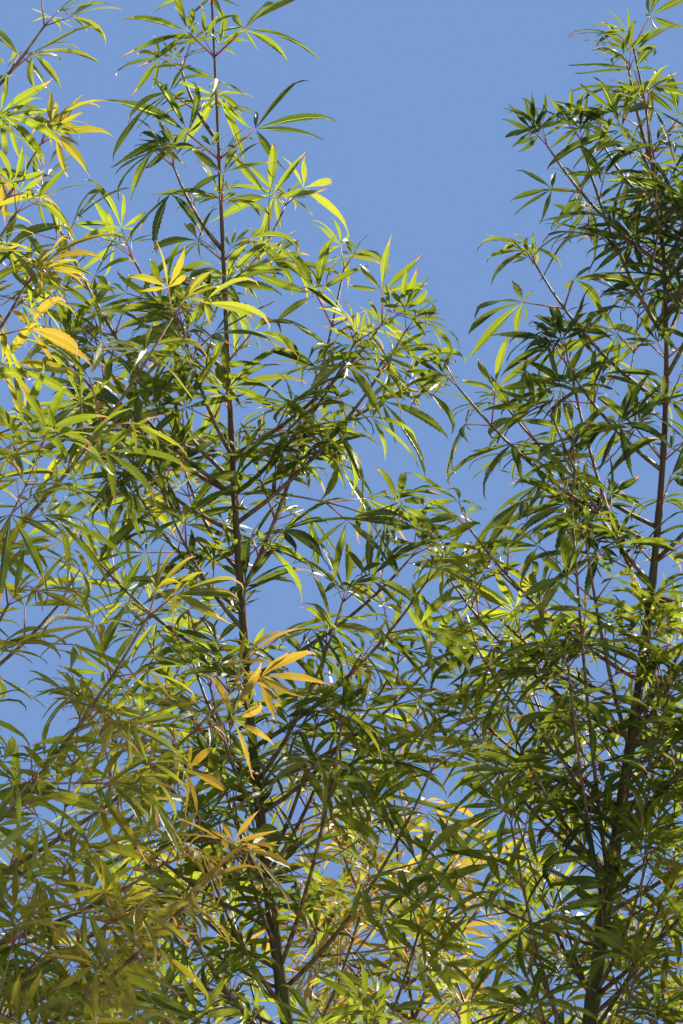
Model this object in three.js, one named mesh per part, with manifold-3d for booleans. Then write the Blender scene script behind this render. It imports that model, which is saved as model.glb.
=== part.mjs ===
// A narrow-leaved Japanese maple: a small tree that forks low into nine upright leaders.
// Millimetres, +Z up. The origin is the centre of the flat cut under the trunk, at ground level.
// Each limb is one tapering solid. Each mass of foliage is one solid: a stem that carries on from
// its bough's tip, side shoots in opposite pairs, and five-lobed leaves fused onto the shoots.

import * as THREE from "three";
import { mergeVertices } from "three/addons/utils/BufferGeometryUtils.js";
import Module from "manifold-3d";

const wasm = await Module();
wasm.setup();

const UP = new THREE.Vector3(0, 0, 1);
const QUARTER_TURN = Math.PI / 2;

// Trunk
const FORK_HEIGHT = 430;
const TRUNK_RADIUS = 47;
const TRUNK_TOP_RADIUS = 33;
const ROOT_FLARE = 25;
const ROOT_FLARE_HEIGHT = 70;
const ROOT_RIDGES = 5;
const ROOT_RIDGE_DEPTH = 0.3;
const TRUNK_BOW = [14, -8];
const TRUNK_SIDES = 20;
const TRUNK_RINGS = 7;
const RING_CROWDING = 1.3; // above 1, the trunk's rings lie closer together near the ground
const SHOULDER = 0.85; // share of its height at which the trunk starts to round off

// Limbs
const SEAT_GAP = 0.3;
const LIMB_SIDES = 6;
const LIMB_RING_STEP = 200;
const PULL = 0.36; // share of a curve's span at which its end directions pull on it

// Leaves, larger than life, because each stands for a few real ones
const LOBE_ANGLES = [-88, -44, 0, 44, 88];
const LOBE_LENGTHS = [0.62, 0.9, 1, 0.9, 0.62];
const LOBE_LENGTH = 145;
const LOBE_DROOP = 0.18;
const NOTCH_RADIUS = 25;
const FLANK_ANGLE = 125;
const FLANK_RADIUS = 14;
const STALK_LENGTH = 55;
const HUB_HALF_THICKNESS = 2.2;
const BLADE_DIP = 0.3; // how far a blade points down for each unit it points out
const BLADE_TILT = 0.8;
const LEAF_SPACING = 80;
const HALFWAY_SPLAY = 1.2; // how far a stalk leans off its shoot for each unit along it
const TOP_LEAVES = [
  { share: 1, splay: -0.9 },
  { share: 0.9, splay: 1.1 },
];
const LEAF_TRIES = [
  { size: 1, turn: 0 },
  { size: 0.9, turn: 0.8 },
  { size: 0.9, turn: -0.8 },
  { size: 0.7, turn: 0 },
  { size: 0.7, turn: 1.2 },
  { size: 0.7, turn: -1.2 },
];

// Stems and shoots
const STEM_SIDES = 4;
const STEM_RINGS = 5;
const STEM_TIP_RADIUS = 2.4;
const SHOOT_SIDES = 3;
const SHOOT_RINGS = 2;
const SHOOT_RADII = [4, 2.2];
const SHOOT_ELBOW = [0.6, 0.35]; // shares of its way out and of its way up that pull on a shoot
const SHOOT_LEAN = 52;
const LEAN_SPREAD = 16;
const TURN_SPREAD = 0.5;
const LENGTH_SPREAD = [0.8, 1.1];
const LOWEST_SHOOT = 0.92; // as shares of the mass's reach
const HIGHEST_SHOOT = 0.12;
const SHOOT_FALL = 0.7;
const SHORTEST_SHOOT = 90;
const SHRINK = 0.8;
const SHOOT_SAMPLES = [0.4, 0.7, 1];
const NODE_STEP = 260;
const FEWEST_NODES = 3;
const FIRST_NODE = 0.1;
const LAST_NODE = 0.76;
const SUNK = 5;
const SPACE_GAP = 0.04; // kept between two masses, as a share of their reach
const LIMB_CLEARANCE = 9;
const SAMPLES = 12;
const SLIVER = 0.03; // the longest edge that joining may leave and that is closed up again

// Seeds of the masses' streams of numbers
const FIRST_SEED = 101;
const SEED_STEP = 37;
const LEAF_SEED = 5000;

const COLOURS = {
  trunk_bark: 0x6b6152,
  green_bark: 0x57603a,
  leaf_green: 0x567a26,
  leaf_gold: 0xa6a52e,
};

// The limbs. start, or from and at: where it grows, on the trunk or part way along another limb.
// tip: its far end. leave and lean: how far outward it slopes, for each unit it rises, at its foot
// and at its tip. radii: at its foot and at its tip.
const LIMBS = [
  { name: "limb_left", start: [-19, -8, 350],
    tip: [-118, 0, 2010], leave: 0.3, lean: 0.2, radii: [21, 7.6] },
  { name: "limb_right", start: [21, -8, 350],
    tip: [118, 40, 2010], leave: 0.25, lean: 0.1, radii: [23, 9] },
  { name: "limb_back", start: [1, 24, 350],
    tip: [40, 600, 1640], leave: 0.8, lean: 0.2, radii: [20, 7.5] },
  { name: "bough_west", from: "limb_left", at: 0.3,
    tip: [-760, -60, 1720], leave: 1.1, lean: 0.28, radii: [13, 7] },
  { name: "bough_front_left", from: "limb_left", at: 0.17,
    tip: [-440, -520, 1850], leave: 0.9, lean: 0.2, radii: [14, 7] },
  { name: "bough_east", from: "limb_right", at: 0.33,
    tip: [770, 0, 1780], leave: 1.1, lean: 0.25, radii: [13, 7] },
  { name: "bough_front_right", from: "limb_right", at: 0.2,
    tip: [400, -520, 1480], leave: 0.9, lean: 0.2, radii: [13, 6.5] },
  { name: "bough_back_left", from: "limb_back", at: 0.24,
    tip: [-540, 520, 1780], leave: 1, lean: 0.22, radii: [13, 7] },
  { name: "bough_back_right", from: "limb_back", at: 0.36,
    tip: [640, 520, 1820], leave: 1.1, lean: 0.22, radii: [12, 7] },
  { name: "side_bough_front", from: "bough_front_right", at: 0.2,
    tip: [20, -640, 1200], leave: 1.1, lean: 0.5, radii: [8, 5] },
  { name: "side_bough_front_left", from: "bough_front_left", at: 0.26,
    tip: [-640, -520, 1290], leave: 1.2, lean: 0.6, radii: [8, 5] },
  { name: "side_bough_west", from: "bough_west", at: 0.22,
    tip: [-740, 260, 1320], leave: 1.2, lean: 0.6, radii: [8, 5] },
  { name: "side_bough_back_left", from: "bough_back_left", at: 0.26,
    tip: [-400, 760, 1300], leave: 1.2, lean: 0.5, radii: [8, 5] },
  { name: "side_bough_back", from: "limb_back", at: 0.48,
    tip: [170, 830, 1320], leave: 1, lean: 0.5, radii: [9, 5] },
  { name: "side_bough_back_right", from: "bough_back_right", at: 0.24,
    tip: [800, 580, 1300], leave: 1.3, lean: 0.6, radii: [8, 5] },
  { name: "side_bough_east", from: "bough_east", at: 0.24,
    tip: [820, -270, 1330], leave: 1.2, lean: 0.6, radii: [8, 5] },
  { name: "side_bough_front_right", from: "bough_front_right", at: 0.4,
    tip: [660, -430, 1290], leave: 1.2, lean: 0.6, radii: [8, 5] },
  { name: "mid_bough_front", from: "limb_left", at: 0.48,
    tip: [-70, -260, 1660], leave: 1.1, lean: 0.3, radii: [8, 5] },
  { name: "mid_bough_right", from: "limb_right", at: 0.5,
    tip: [400, 130, 1700], leave: 1.1, lean: 0.3, radii: [8, 5] },
];

// The side shoots of the two middle leaders, each from a height on its stem and its way from there.
const LEFT_CROWN_SHOOTS = [
  { height: 2090, way: [-150, -170, 120] },
  { height: 2110, way: [130, 180, 120] },
  { height: 2238, way: [145, -40, 210] },
  { height: 2240, way: [-120, 60, 95] },
  { height: 2413, way: [136, 50, 165] },
  { height: 2430, way: [-150, -70, 70] },
  { height: 2550, way: [205, -30, 150] },
  { height: 2556, way: [-170, 50, 152] },
  { height: 2637, way: [103, 20, 350] },
  { height: 2753, way: [-195, -30, 300] },
  { height: 2960, way: [60, 110, 130] },
];
const RIGHT_CROWN_SHOOTS = [
  { height: 2100, way: [-110, 170, 150] },
  { height: 2120, way: [150, -150, 120] },
  { height: 2290, way: [-160, -50, 60] },
  { height: 2352, way: [-35, -70, 365] },
  { height: 2426, way: [-155, 30, 120] },
  { height: 2440, way: [130, 40, 80] },
  { height: 2535, way: [-142, 60, 115] },
  { height: 2634, way: [-81, -20, 271] },
  { height: 2684, way: [120, -50, 160] },
  { height: 2920, way: [-85, -10, 215] },
  { height: 2960, way: [70, 60, 120] },
];

// The masses of foliage. on: the limb whose tip carries it. top: where its stem ends.
// lean: how far outward the stem slopes there. reach: how far from its stem its own space goes.
const MASSES = [
  { name: "left_crown", on: "limb_left",
    top: [-238, 10, 3330], lean: 0.06, reach: 400, shoots: LEFT_CROWN_SHOOTS },
  { name: "right_crown", on: "limb_right",
    top: [205, 50, 3240], lean: -0.2, reach: 400, shoots: RIGHT_CROWN_SHOOTS },
  { name: "back_crown", on: "limb_back",
    top: [-40, 700, 2600], lean: 0.05, reach: 400, colour: "leaf_gold" },
  { name: "west_crown", on: "bough_west",
    top: [-870, -60, 2700], lean: 0.05, reach: 400 },
  { name: "front_left_crown", on: "bough_front_left",
    top: [-500, -620, 2960], lean: 0.05, reach: 380, colour: "leaf_gold" },
  { name: "east_crown", on: "bough_east",
    top: [880, 20, 2760], lean: 0.05, reach: 400 },
  { name: "front_right_crown", on: "bough_front_right",
    top: [430, -640, 2180], lean: 0.1, reach: 380 },
  { name: "back_left_crown", on: "bough_back_left",
    top: [-640, 600, 2860], lean: 0.05, reach: 400, colour: "leaf_gold" },
  { name: "back_right_crown", on: "bough_back_right",
    top: [720, 600, 2840], lean: 0.05, reach: 400 },
  { name: "front_mass", on: "side_bough_front",
    top: [0, -800, 1720], lean: 0.2, reach: 380 },
  { name: "front_left_mass", on: "side_bough_front_left",
    top: [-790, -620, 1800], lean: 0.3, reach: 380 },
  { name: "west_mass", on: "side_bough_west",
    top: [-900, 350, 1860], lean: 0.3, reach: 380 },
  { name: "back_left_mass", on: "side_bough_back_left",
    top: [-430, 900, 1840], lean: 0.2, reach: 380 },
  { name: "back_mass", on: "side_bough_back",
    top: [220, 980, 1820], lean: 0.2, reach: 380 },
  { name: "back_right_mass", on: "side_bough_back_right",
    top: [960, 660, 1820], lean: 0.3, reach: 380 },
  { name: "east_mass", on: "side_bough_east",
    top: [980, -340, 1860], lean: 0.3, reach: 380 },
  { name: "front_right_mass", on: "side_bough_front_right",
    top: [830, -600, 1720], lean: 0.3, reach: 360 },
  { name: "mid_front_mass", on: "mid_bough_front",
    top: [-60, -360, 2140], lean: 0.1, reach: 340 },
  { name: "mid_right_mass", on: "mid_bough_right",
    top: [470, 110, 2330], lean: 0.1, reach: 340 },
];

// A repeatable stream of numbers from 0 to 1.
function stream(seed) {
  let state = seed >>> 0;
  return () => {
    state = (Math.imul(state, 1664525) + 1013904223) >>> 0;
    return state / 4294967296;
  };
}

// The upward direction that slopes away from start towards end.
function sloping(start, end, slope) {
  const outward = new THREE.Vector3(end.x - start.x, end.y - start.y, 0).normalize();
  return outward.multiplyScalar(slope).add(UP).normalize();
}

// A smooth curve that leaves start along one direction and arrives at end along another.
function bend(start, leaving, end, arriving) {
  const pull = PULL * start.distanceTo(end);
  return new THREE.CubicBezierCurve3(
    start,
    start.clone().addScaledVector(leaving, pull),
    end.clone().addScaledVector(arriving, -pull),
    end,
  );
}

// Two directions square to a tangent. The reference keeps them from twisting along a curve.
function squareTo(tangent, reference) {
  const side = new THREE.Vector3().crossVectors(reference, tangent).normalize();
  return [side, new THREE.Vector3().crossVectors(tangent, side)];
}

// The axis that lies least along a curve.
function referenceFor(curve) {
  const chord = curve.getPoint(1).sub(curve.getPoint(0));
  const axes = [new THREE.Vector3(1, 0, 0), new THREE.Vector3(0, 1, 0), UP];
  return axes.reduce((best, axis) => (Math.abs(axis.dot(chord)) < Math.abs(best.dot(chord)) ? axis : best));
}

// A closed geometry as a solid that can be joined and cut.
function solidOf(geometry) {
  geometry.deleteAttribute("normal");
  geometry.deleteAttribute("uv");
  const merged = mergeVertices(geometry, 1e-4);
  const mesh = new wasm.Mesh({
    numProp: 3,
    vertProperties: merged.attributes.position.array,
    triVerts: new Uint32Array(merged.index.array),
  });
  return new wasm.Manifold(mesh);
}

// A solid as a geometry for a mesh.
function geometryOf(solid) {
  const { vertProperties, triVerts } = solid.getMesh();
  return new THREE.BufferGeometry()
    .setAttribute("position", new THREE.BufferAttribute(vertProperties, 3))
    .setIndex(new THREE.BufferAttribute(triVerts, 1));
}

// The largest of a solid's separate bodies, so that a cut leaves no scraps.
function largestBody(solid) {
  return solid.decompose().reduce((best, body) => (body.volume() > best.volume() ? body : best));
}

// An upright cylinder of height 1 from z = 0 and radius 1, whose points place() moves.
function shapedCylinder(sides, rings, place) {
  const geometry = new THREE.CylinderGeometry(1, 1, 1, sides, rings);
  geometry.rotateX(QUARTER_TURN).translate(0, 0, 0.5);
  const position = geometry.attributes.position;
  const point = new THREE.Vector3();
  for (let i = 0; i < position.count; i++) {
    point.fromBufferAttribute(position, i);
    const placed = place(point);
    position.setXYZ(i, placed.x, placed.y, placed.z);
  }
  return solidOf(geometry);
}

// A tube along a curve, tapering from radii[0] to radii[1]. grow widens it all along.
function taperedTube(curve, radii, sides, rings, grow = 0) {
  const reference = referenceFor(curve);
  return shapedCylinder(sides, rings, ({ x, y, z: share }) => {
    const [side, front] = squareTo(curve.getTangent(share), reference);
    const radius = THREE.MathUtils.lerp(radii[0], radii[1], share) + grow;
    return curve.getPoint(share).addScaledVector(side, x * radius).addScaledVector(front, y * radius);
  });
}

// A limb, or with grow the room that it takes from the limbs that leave it.
function limbSolid(limb, grow = 0) {
  const rings = Math.round(limb.curve.getLength() / LIMB_RING_STEP) + 1;
  return taperedTube(limb.curve, limb.radii, LIMB_SIDES, rings, grow);
}

// The trunk: level rings that bow a little, a ridged flare over the roots and a rounded top.
function trunkSolid(grow = 0) {
  return shapedCylinder(TRUNK_SIDES, TRUNK_RINGS, ({ x, y, z: share }) => {
    const height = FORK_HEIGHT * share ** RING_CROWDING + (share === 1 ? grow : 0);
    const ridges = 1 + ROOT_RIDGE_DEPTH * Math.cos(ROOT_RIDGES * Math.atan2(y, x));
    const flare = ROOT_FLARE * ridges * Math.exp(-height / ROOT_FLARE_HEIGHT);
    const rounding = Math.max(0, share - SHOULDER) / (1 - SHOULDER);
    const radius = THREE.MathUtils.lerp(TRUNK_RADIUS, TRUNK_TOP_RADIUS, rounding) + flare + grow;
    const bow = share * (1 - share);
    return new THREE.Vector3(x * radius + TRUNK_BOW[0] * bow, y * radius + TRUNK_BOW[1] * bow, height);
  });
}

// Where each limb goes: its curve, and the direction that it has at its tip.
function layOutLimbs() {
  const laid = new Map();
  for (const limb of LIMBS) {
    const parent = laid.get(limb.from);
    const start = parent ? parent.curve.getPoint(limb.at) : new THREE.Vector3(...limb.start);
    const tip = new THREE.Vector3(...limb.tip);
    const heading = sloping(start, tip, limb.lean);
    const curve = bend(start, sloping(start, tip, limb.leave), tip, heading);
    laid.set(limb.name, { ...limb, curve, heading, line: curve.getPoints(SAMPLES) });
  }
  return laid;
}

// Where each mass's stem goes. It starts just clear of its bough's tip.
function layOutMasses(limbs) {
  return MASSES.map((mass, index) => {
    const bough = limbs.get(mass.on);
    const foot = bough.curve.getPoint(1).addScaledVector(bough.heading, SEAT_GAP);
    const top = new THREE.Vector3(...mass.top);
    const curve = bend(foot, bough.heading, top, sloping(foot, top, mass.lean));
    return { ...mass, bough, curve, line: curve.getPoints(SAMPLES), seed: FIRST_SEED + SEED_STEP * index };
  });
}

// The distance from a point to a line of points.
function distanceTo(line, point) {
  const piece = new THREE.Line3();
  const near = new THREE.Vector3();
  const distances = line.slice(1).map((end, i) => {
    piece.set(line[i], end).closestPointToPoint(point, true, near);
    return near.distanceTo(point);
  });
  return Math.min(...distances);
}

// How far inside its mass's own space a point lies, as a share of the reach. Outside, it is below 0.
function roomAt(mass, masses, point) {
  const own = distanceTo(mass.line, point) / mass.reach;
  const others = masses.filter((other) => other !== mass);
  const nearest = Math.min(...others.map((other) => distanceTo(other.line, point) / other.reach));
  return Math.min(1 - own, nearest - own - SPACE_GAP);
}

// Whether every point is in the mass's own space and clear of every limb.
function isFree(mass, masses, limbs, points) {
  return points.every(
    (point) =>
      roomAt(mass, masses, point) > 0 &&
      [...limbs.values()].every((limb) => distanceTo(limb.line, point) > limb.radii[0] + LIMB_CLEARANCE),
  );
}

// A shoot that leaves its stem low and turns upward.
function shootCurve(root, way) {
  const [outShare, upShare] = SHOOT_ELBOW;
  const elbow = root.clone().add(new THREE.Vector3(way.x * outShare, way.y * outShare, way.z * upShare));
  return new THREE.QuadraticBezierCurve3(root, elbow, root.clone().add(way));
}

// The share of a rising curve at which it reaches a height.
function shareAtHeight(curve, height) {
  let [low, high] = [0, 1];
  for (let halving = 0; halving < 20; halving++) {
    const middle = (low + high) / 2;
    if (curve.getPoint(middle).z < height) low = middle;
    else high = middle;
  }
  return low;
}

// The shoots of a middle leader, which have places of their own.
function placedShoots(mass) {
  return mass.shoots.map(({ height, way }) => ({
    root: mass.curve.getPoint(shareAtHeight(mass.curve, height)),
    way: new THREE.Vector3(...way),
  }));
}

// How long a shoot is, for each unit of reach, from a share along its stem.
function shootShare(share) {
  return LOWEST_SHOOT * (1 - share) ** SHOOT_FALL + HIGHEST_SHOOT;
}

// The shoots of any other mass: opposite pairs, each a quarter turn on from the last.
function pairedShoots(mass) {
  const next = stream(mass.seed);
  const firstTurn = next() * Math.PI;
  const nodes = Math.max(FEWEST_NODES, Math.round(mass.curve.getLength() / NODE_STEP));
  const shoots = [];
  for (let node = 0; node < nodes; node++) {
    const share = THREE.MathUtils.lerp(FIRST_NODE, LAST_NODE, node / (nodes - 1));
    const tangent = mass.curve.getTangent(share);
    const [side, front] = squareTo(tangent, new THREE.Vector3(0, 1, 0));
    for (const half of [0, Math.PI]) {
      const turn = firstTurn + node * QUARTER_TURN + half + (next() - 0.5) * TURN_SPREAD;
      const lean = THREE.MathUtils.degToRad(SHOOT_LEAN + (next() - 0.5) * LEAN_SPREAD);
      const length = mass.reach * shootShare(share) * THREE.MathUtils.lerp(...LENGTH_SPREAD, next());
      const way = tangent
        .clone()
        .multiplyScalar(length * Math.cos(lean))
        .addScaledVector(side, length * Math.sin(lean) * Math.cos(turn))
        .addScaledVector(front, length * Math.sin(lean) * Math.sin(turn));
      shoots.push({ root: mass.curve.getPoint(share), way });
    }
  }
  return shoots;
}

// Each shoot that finds room, shortened where its space is tight.
function growShoots(mass, masses, limbs) {
  const grown = [];
  for (const { root, way } of mass.shoots ? placedShoots(mass) : pairedShoots(mass)) {
    for (; way.length() > SHORTEST_SHOOT; way.multiplyScalar(SHRINK)) {
      const curve = shootCurve(root, way);
      if (isFree(mass, masses, limbs, SHOOT_SAMPLES.map((share) => curve.getPoint(share)))) {
        grown.push(curve);
        break;
      }
    }
  }
  return grown;
}

// The corners of a five-lobed leaf, in order round its rim from the foot of its stalk.
function leafRim(foot, hub, forward, across, size) {
  const place = (angle, radius, droop = 0) => {
    const turn = THREE.MathUtils.degToRad(angle);
    return hub
      .clone()
      .addScaledVector(forward, radius * size * Math.cos(turn))
      .addScaledVector(across, radius * size * Math.sin(turn))
      .addScaledVector(UP, -droop * radius * size);
  };
  const rim = [foot, place(-FLANK_ANGLE, FLANK_RADIUS)];
  LOBE_ANGLES.forEach((angle, i) => {
    if (i > 0) rim.push(place((LOBE_ANGLES[i - 1] + angle) / 2, NOTCH_RADIUS));
    rim.push(place(angle, LOBE_LENGTH * LOBE_LENGTHS[i], LOBE_DROOP));
  });
  return [...rim, place(FLANK_ANGLE, FLANK_RADIUS)];
}

// A leaf on its stalk: a thin star, with its hub raised above and below.
function leafSolid(foot, hub, forward, facing, size) {
  const across = new THREE.Vector3().crossVectors(facing, forward).normalize();
  const normal = new THREE.Vector3().crossVectors(forward, across);
  const rim = leafRim(foot, hub, forward, across, size);
  const above = hub.clone().addScaledVector(normal, HUB_HALF_THICKNESS);
  const below = hub.clone().addScaledVector(normal, -HUB_HALF_THICKNESS);
  const faces = rim.flatMap((_, i) => {
    const here = i + 2;
    const following = ((i + 1) % rim.length) + 2;
    return [0, here, following, 1, following, here];
  });
  const geometry = new THREE.BufferGeometry().setFromPoints([above, below, ...rim]).setIndex(faces);
  const outline = rim.slice(1);
  const middles = outline.map((point) => point.clone().lerp(hub, 0.5));
  return { solid: solidOf(geometry), points: [hub, ...outline, ...middles] };
}

// The leaves of a mass: one at each shoot's tip, one half way along some, and two at the top.
function growLeaves(mass, masses, limbs, shoots) {
  const next = stream(mass.seed + LEAF_SEED);
  const hubs = [];
  const leaves = [];
  const addLeaf = (curve, share, splay) => {
    const root = curve.getPoint(share);
    const tangent = curve.getTangent(share);
    const foot = root.clone().addScaledVector(tangent, -SUNK);
    const side = new THREE.Vector3().crossVectors(tangent, UP).normalize();
    const stalk = tangent.clone().addScaledVector(side, splay).normalize();
    const dip = -BLADE_DIP * next();
    const facing = new THREE.Vector3(BLADE_TILT * (next() - 0.5), BLADE_TILT * (next() - 0.5), 1);
    for (const { size, turn } of LEAF_TRIES) {
      const level = new THREE.Vector3(stalk.x, stalk.y, 0).applyAxisAngle(UP, turn).normalize();
      const forward = level.addScaledVector(UP, dip).normalize();
      const hub = root.clone().addScaledVector(stalk, STALK_LENGTH * size);
      const leaf = leafSolid(foot, hub, forward, facing, size);
      const isApart = hubs.every((other) => other.distanceTo(hub) > LEAF_SPACING);
      if (isApart && isFree(mass, masses, limbs, leaf.points)) {
        hubs.push(hub);
        leaves.push(leaf.solid);
        return;
      }
    }
  };
  const everyNth = mass.shoots ? 1 : 2;
  shoots.forEach((curve, i) => {
    if (i % everyNth === 0) addLeaf(curve, 0.5, i % 4 < 2 ? HALFWAY_SPLAY : -HALFWAY_SPLAY);
    addLeaf(curve, 1, 0);
  });
  for (const { share, splay } of TOP_LEAVES) addLeaf(mass.curve, share, splay);
  return leaves;
}

// One mass: its stem, shoots and leaves fused into one solid.
function massSolid(mass, masses, limbs) {
  const stem = taperedTube(mass.curve, [mass.bough.radii[1], STEM_TIP_RADIUS], STEM_SIDES, STEM_RINGS);
  const shoots = growShoots(mass, masses, limbs);
  const twigs = shoots.map((curve) => taperedTube(curve, SHOOT_RADII, SHOOT_SIDES, SHOOT_RINGS));
  const leaves = growLeaves(mass, masses, limbs, shoots);
  const whole = [...twigs, ...leaves].reduce((joined, piece) => joined.add(piece), stem);
  return largestBody(whole.simplify(SLIVER));
}

// A named mesh in one of the tree's colours.
function namedMesh(name, solid, colour, roughness) {
  const material = new THREE.MeshStandardMaterial({ color: COLOURS[colour], roughness, metalness: 0 });
  const mesh = new THREE.Mesh(geometryOf(solid), material);
  mesh.name = name;
  return mesh;
}

const tree = new THREE.Group();
tree.name = "narrow_leaved_maple";
tree.add(namedMesh("trunk", trunkSolid(), "trunk_bark", 0.85));

const limbs = layOutLimbs();
const seats = [trunkSolid(SEAT_GAP)];
for (const limb of limbs.values()) {
  const clear = seats.reduce((left, seat) => left.subtract(seat), limbSolid(limb));
  tree.add(namedMesh(limb.name, largestBody(clear), "green_bark", 0.6));
  seats.push(limbSolid(limb, SEAT_GAP));
}

const masses = layOutMasses(limbs);
for (const mass of masses) {
  tree.add(namedMesh(mass.name, massSolid(mass, masses, limbs), mass.colour ?? "leaf_green", 0.5));
}

export default tree;
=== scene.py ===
# %% [markdown]
# A narrow-leaved Japanese maple in Blender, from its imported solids.
# The solids give the trunk, the limbs, and a stem, side shoots and a few large leaves for each mass
# of foliage. Here every limb gets its bark, and every mass grows its full twigs and leaves.
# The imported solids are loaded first, because everything else is fitted to them.

import bmesh
import bpy
import numpy as np
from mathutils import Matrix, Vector


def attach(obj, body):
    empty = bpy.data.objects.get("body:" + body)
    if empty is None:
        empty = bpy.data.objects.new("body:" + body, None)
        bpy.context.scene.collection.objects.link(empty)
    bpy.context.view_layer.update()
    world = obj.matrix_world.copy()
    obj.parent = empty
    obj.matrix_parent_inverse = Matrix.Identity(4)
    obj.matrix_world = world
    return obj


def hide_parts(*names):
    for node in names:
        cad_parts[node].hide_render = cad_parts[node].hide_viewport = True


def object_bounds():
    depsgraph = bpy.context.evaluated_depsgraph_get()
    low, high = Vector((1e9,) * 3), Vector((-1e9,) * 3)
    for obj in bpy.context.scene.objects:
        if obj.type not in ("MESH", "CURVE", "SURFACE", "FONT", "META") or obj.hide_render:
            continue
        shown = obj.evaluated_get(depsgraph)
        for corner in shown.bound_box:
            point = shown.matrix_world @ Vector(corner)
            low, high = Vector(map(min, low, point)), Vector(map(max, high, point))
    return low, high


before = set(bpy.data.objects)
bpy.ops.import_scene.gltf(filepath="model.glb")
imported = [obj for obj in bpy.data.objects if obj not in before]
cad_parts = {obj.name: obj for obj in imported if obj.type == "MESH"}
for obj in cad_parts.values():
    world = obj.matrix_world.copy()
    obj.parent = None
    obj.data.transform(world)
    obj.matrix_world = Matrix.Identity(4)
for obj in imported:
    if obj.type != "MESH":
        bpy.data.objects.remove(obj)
CAD_BOX = np.array([list(corner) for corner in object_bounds()])
print("the solids' box in metres:", CAD_BOX.round(3).tolist())

# %% [markdown]
# The tree is seen as somebody sees it who stands four metres off and looks up into the tops
# against the sky. A camera could be put in place by eye. Here its place is worked out from the
# point it aims at, how far off it stands and how steeply it looks up, so that each can be changed
# alone. The long lens keeps the upright leaders upright.

# %% The camera
AIM = np.array([-0.1, 0.0, 2.72])
CAMERA_DISTANCE = 4.17
LOOK_UP = np.radians(16)
LENS = 146.6

straight_back = np.array([0, -np.cos(LOOK_UP), -np.sin(LOOK_UP)])
bpy.ops.object.camera_add(
    location=AIM + CAMERA_DISTANCE * straight_back,
    rotation=(np.pi / 2 + LOOK_UP, 0, 0),
)
camera = bpy.context.object
camera.name = "view_into_the_crown"
camera.data.lens = LENS
bpy.context.scene.camera = camera
print("camera at", [round(v, 2) for v in camera.location])

# %% [markdown]
# The light is that of a plain studio. A sun lamp stands behind the tree on the right, and its
# light shines through the leaves and makes them glow. Two weak ones, far wider and so softer, stand
# behind on the left and in front on the right, and a plain blue sky lights the rest. Area lamps
# could be used, but their light fades with distance, and the nearest leaves would be too bright.

# %% Lights, sky and floor
SKY = (0.255, 0.44, 0.86, 1)
SKY_STRENGTH = 0.75
SOFT_WHITE = (1.0, 0.97, 0.90)
FLOOR_SIZE = 60
FLOOR_GREY = (0.22, 0.22, 0.215, 1)


def add_sun(name, place, softness, strength, colour):
    bpy.ops.object.light_add(type="SUN", location=place)
    lamp = bpy.context.object
    lamp.name = name
    lamp.data.angle = np.radians(softness)
    lamp.data.energy = strength
    lamp.data.color = colour
    lamp.rotation_euler = Vector(AIM - np.array(place)).to_track_quat("-Z", "Y").to_euler()


def new_material(name):
    material = bpy.data.materials.new(name)
    material.use_nodes = True
    tree = material.node_tree
    return material, tree, tree.nodes["Principled BSDF"]


add_sun("sunny_side", (3.2, 3.8, 6.4), softness=5, strength=14.0, colour=(1.0, 0.95, 0.84))
add_sun("far_side", (-3.6, 3.0, 6.0), softness=45, strength=0.7, colour=SOFT_WHITE)
add_sun("soft_front", (4.0, -3.4, 4.8), softness=35, strength=1.0, colour=SOFT_WHITE)
bpy.context.scene.view_settings.view_transform = "Standard"

world = bpy.data.worlds.new("pale_sky")
bpy.context.scene.world = world
world.use_nodes = True
background = world.node_tree.nodes["Background"]
background.inputs["Color"].default_value = SKY
background.inputs["Strength"].default_value = SKY_STRENGTH

bpy.ops.mesh.primitive_plane_add(size=FLOOR_SIZE)
floor = bpy.context.object
floor.name = "pale_floor"
floor_finish, _, shader = new_material("pale_floor")
shader.inputs["Base Color"].default_value = FLOOR_GREY
shader.inputs["Roughness"].default_value = 0.9
floor.data.materials.append(floor_finish)
print("lights, sky and floor are set")

# %% [markdown]
# The trunk forks at 43 cm into three limbs, and these into boughs, until nine upright leaders share
# the light. Smaller boughs fill the flanks. The tree could be drawn point by point. It is described
# here as a gardener would: where each limb starts, where it ends, and how far it leans outward,
# for each unit it rises, at its foot and at its tip. The solids were laid out by the same rows,
# so the bark made here lies on them. Lengths are in metres.

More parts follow.
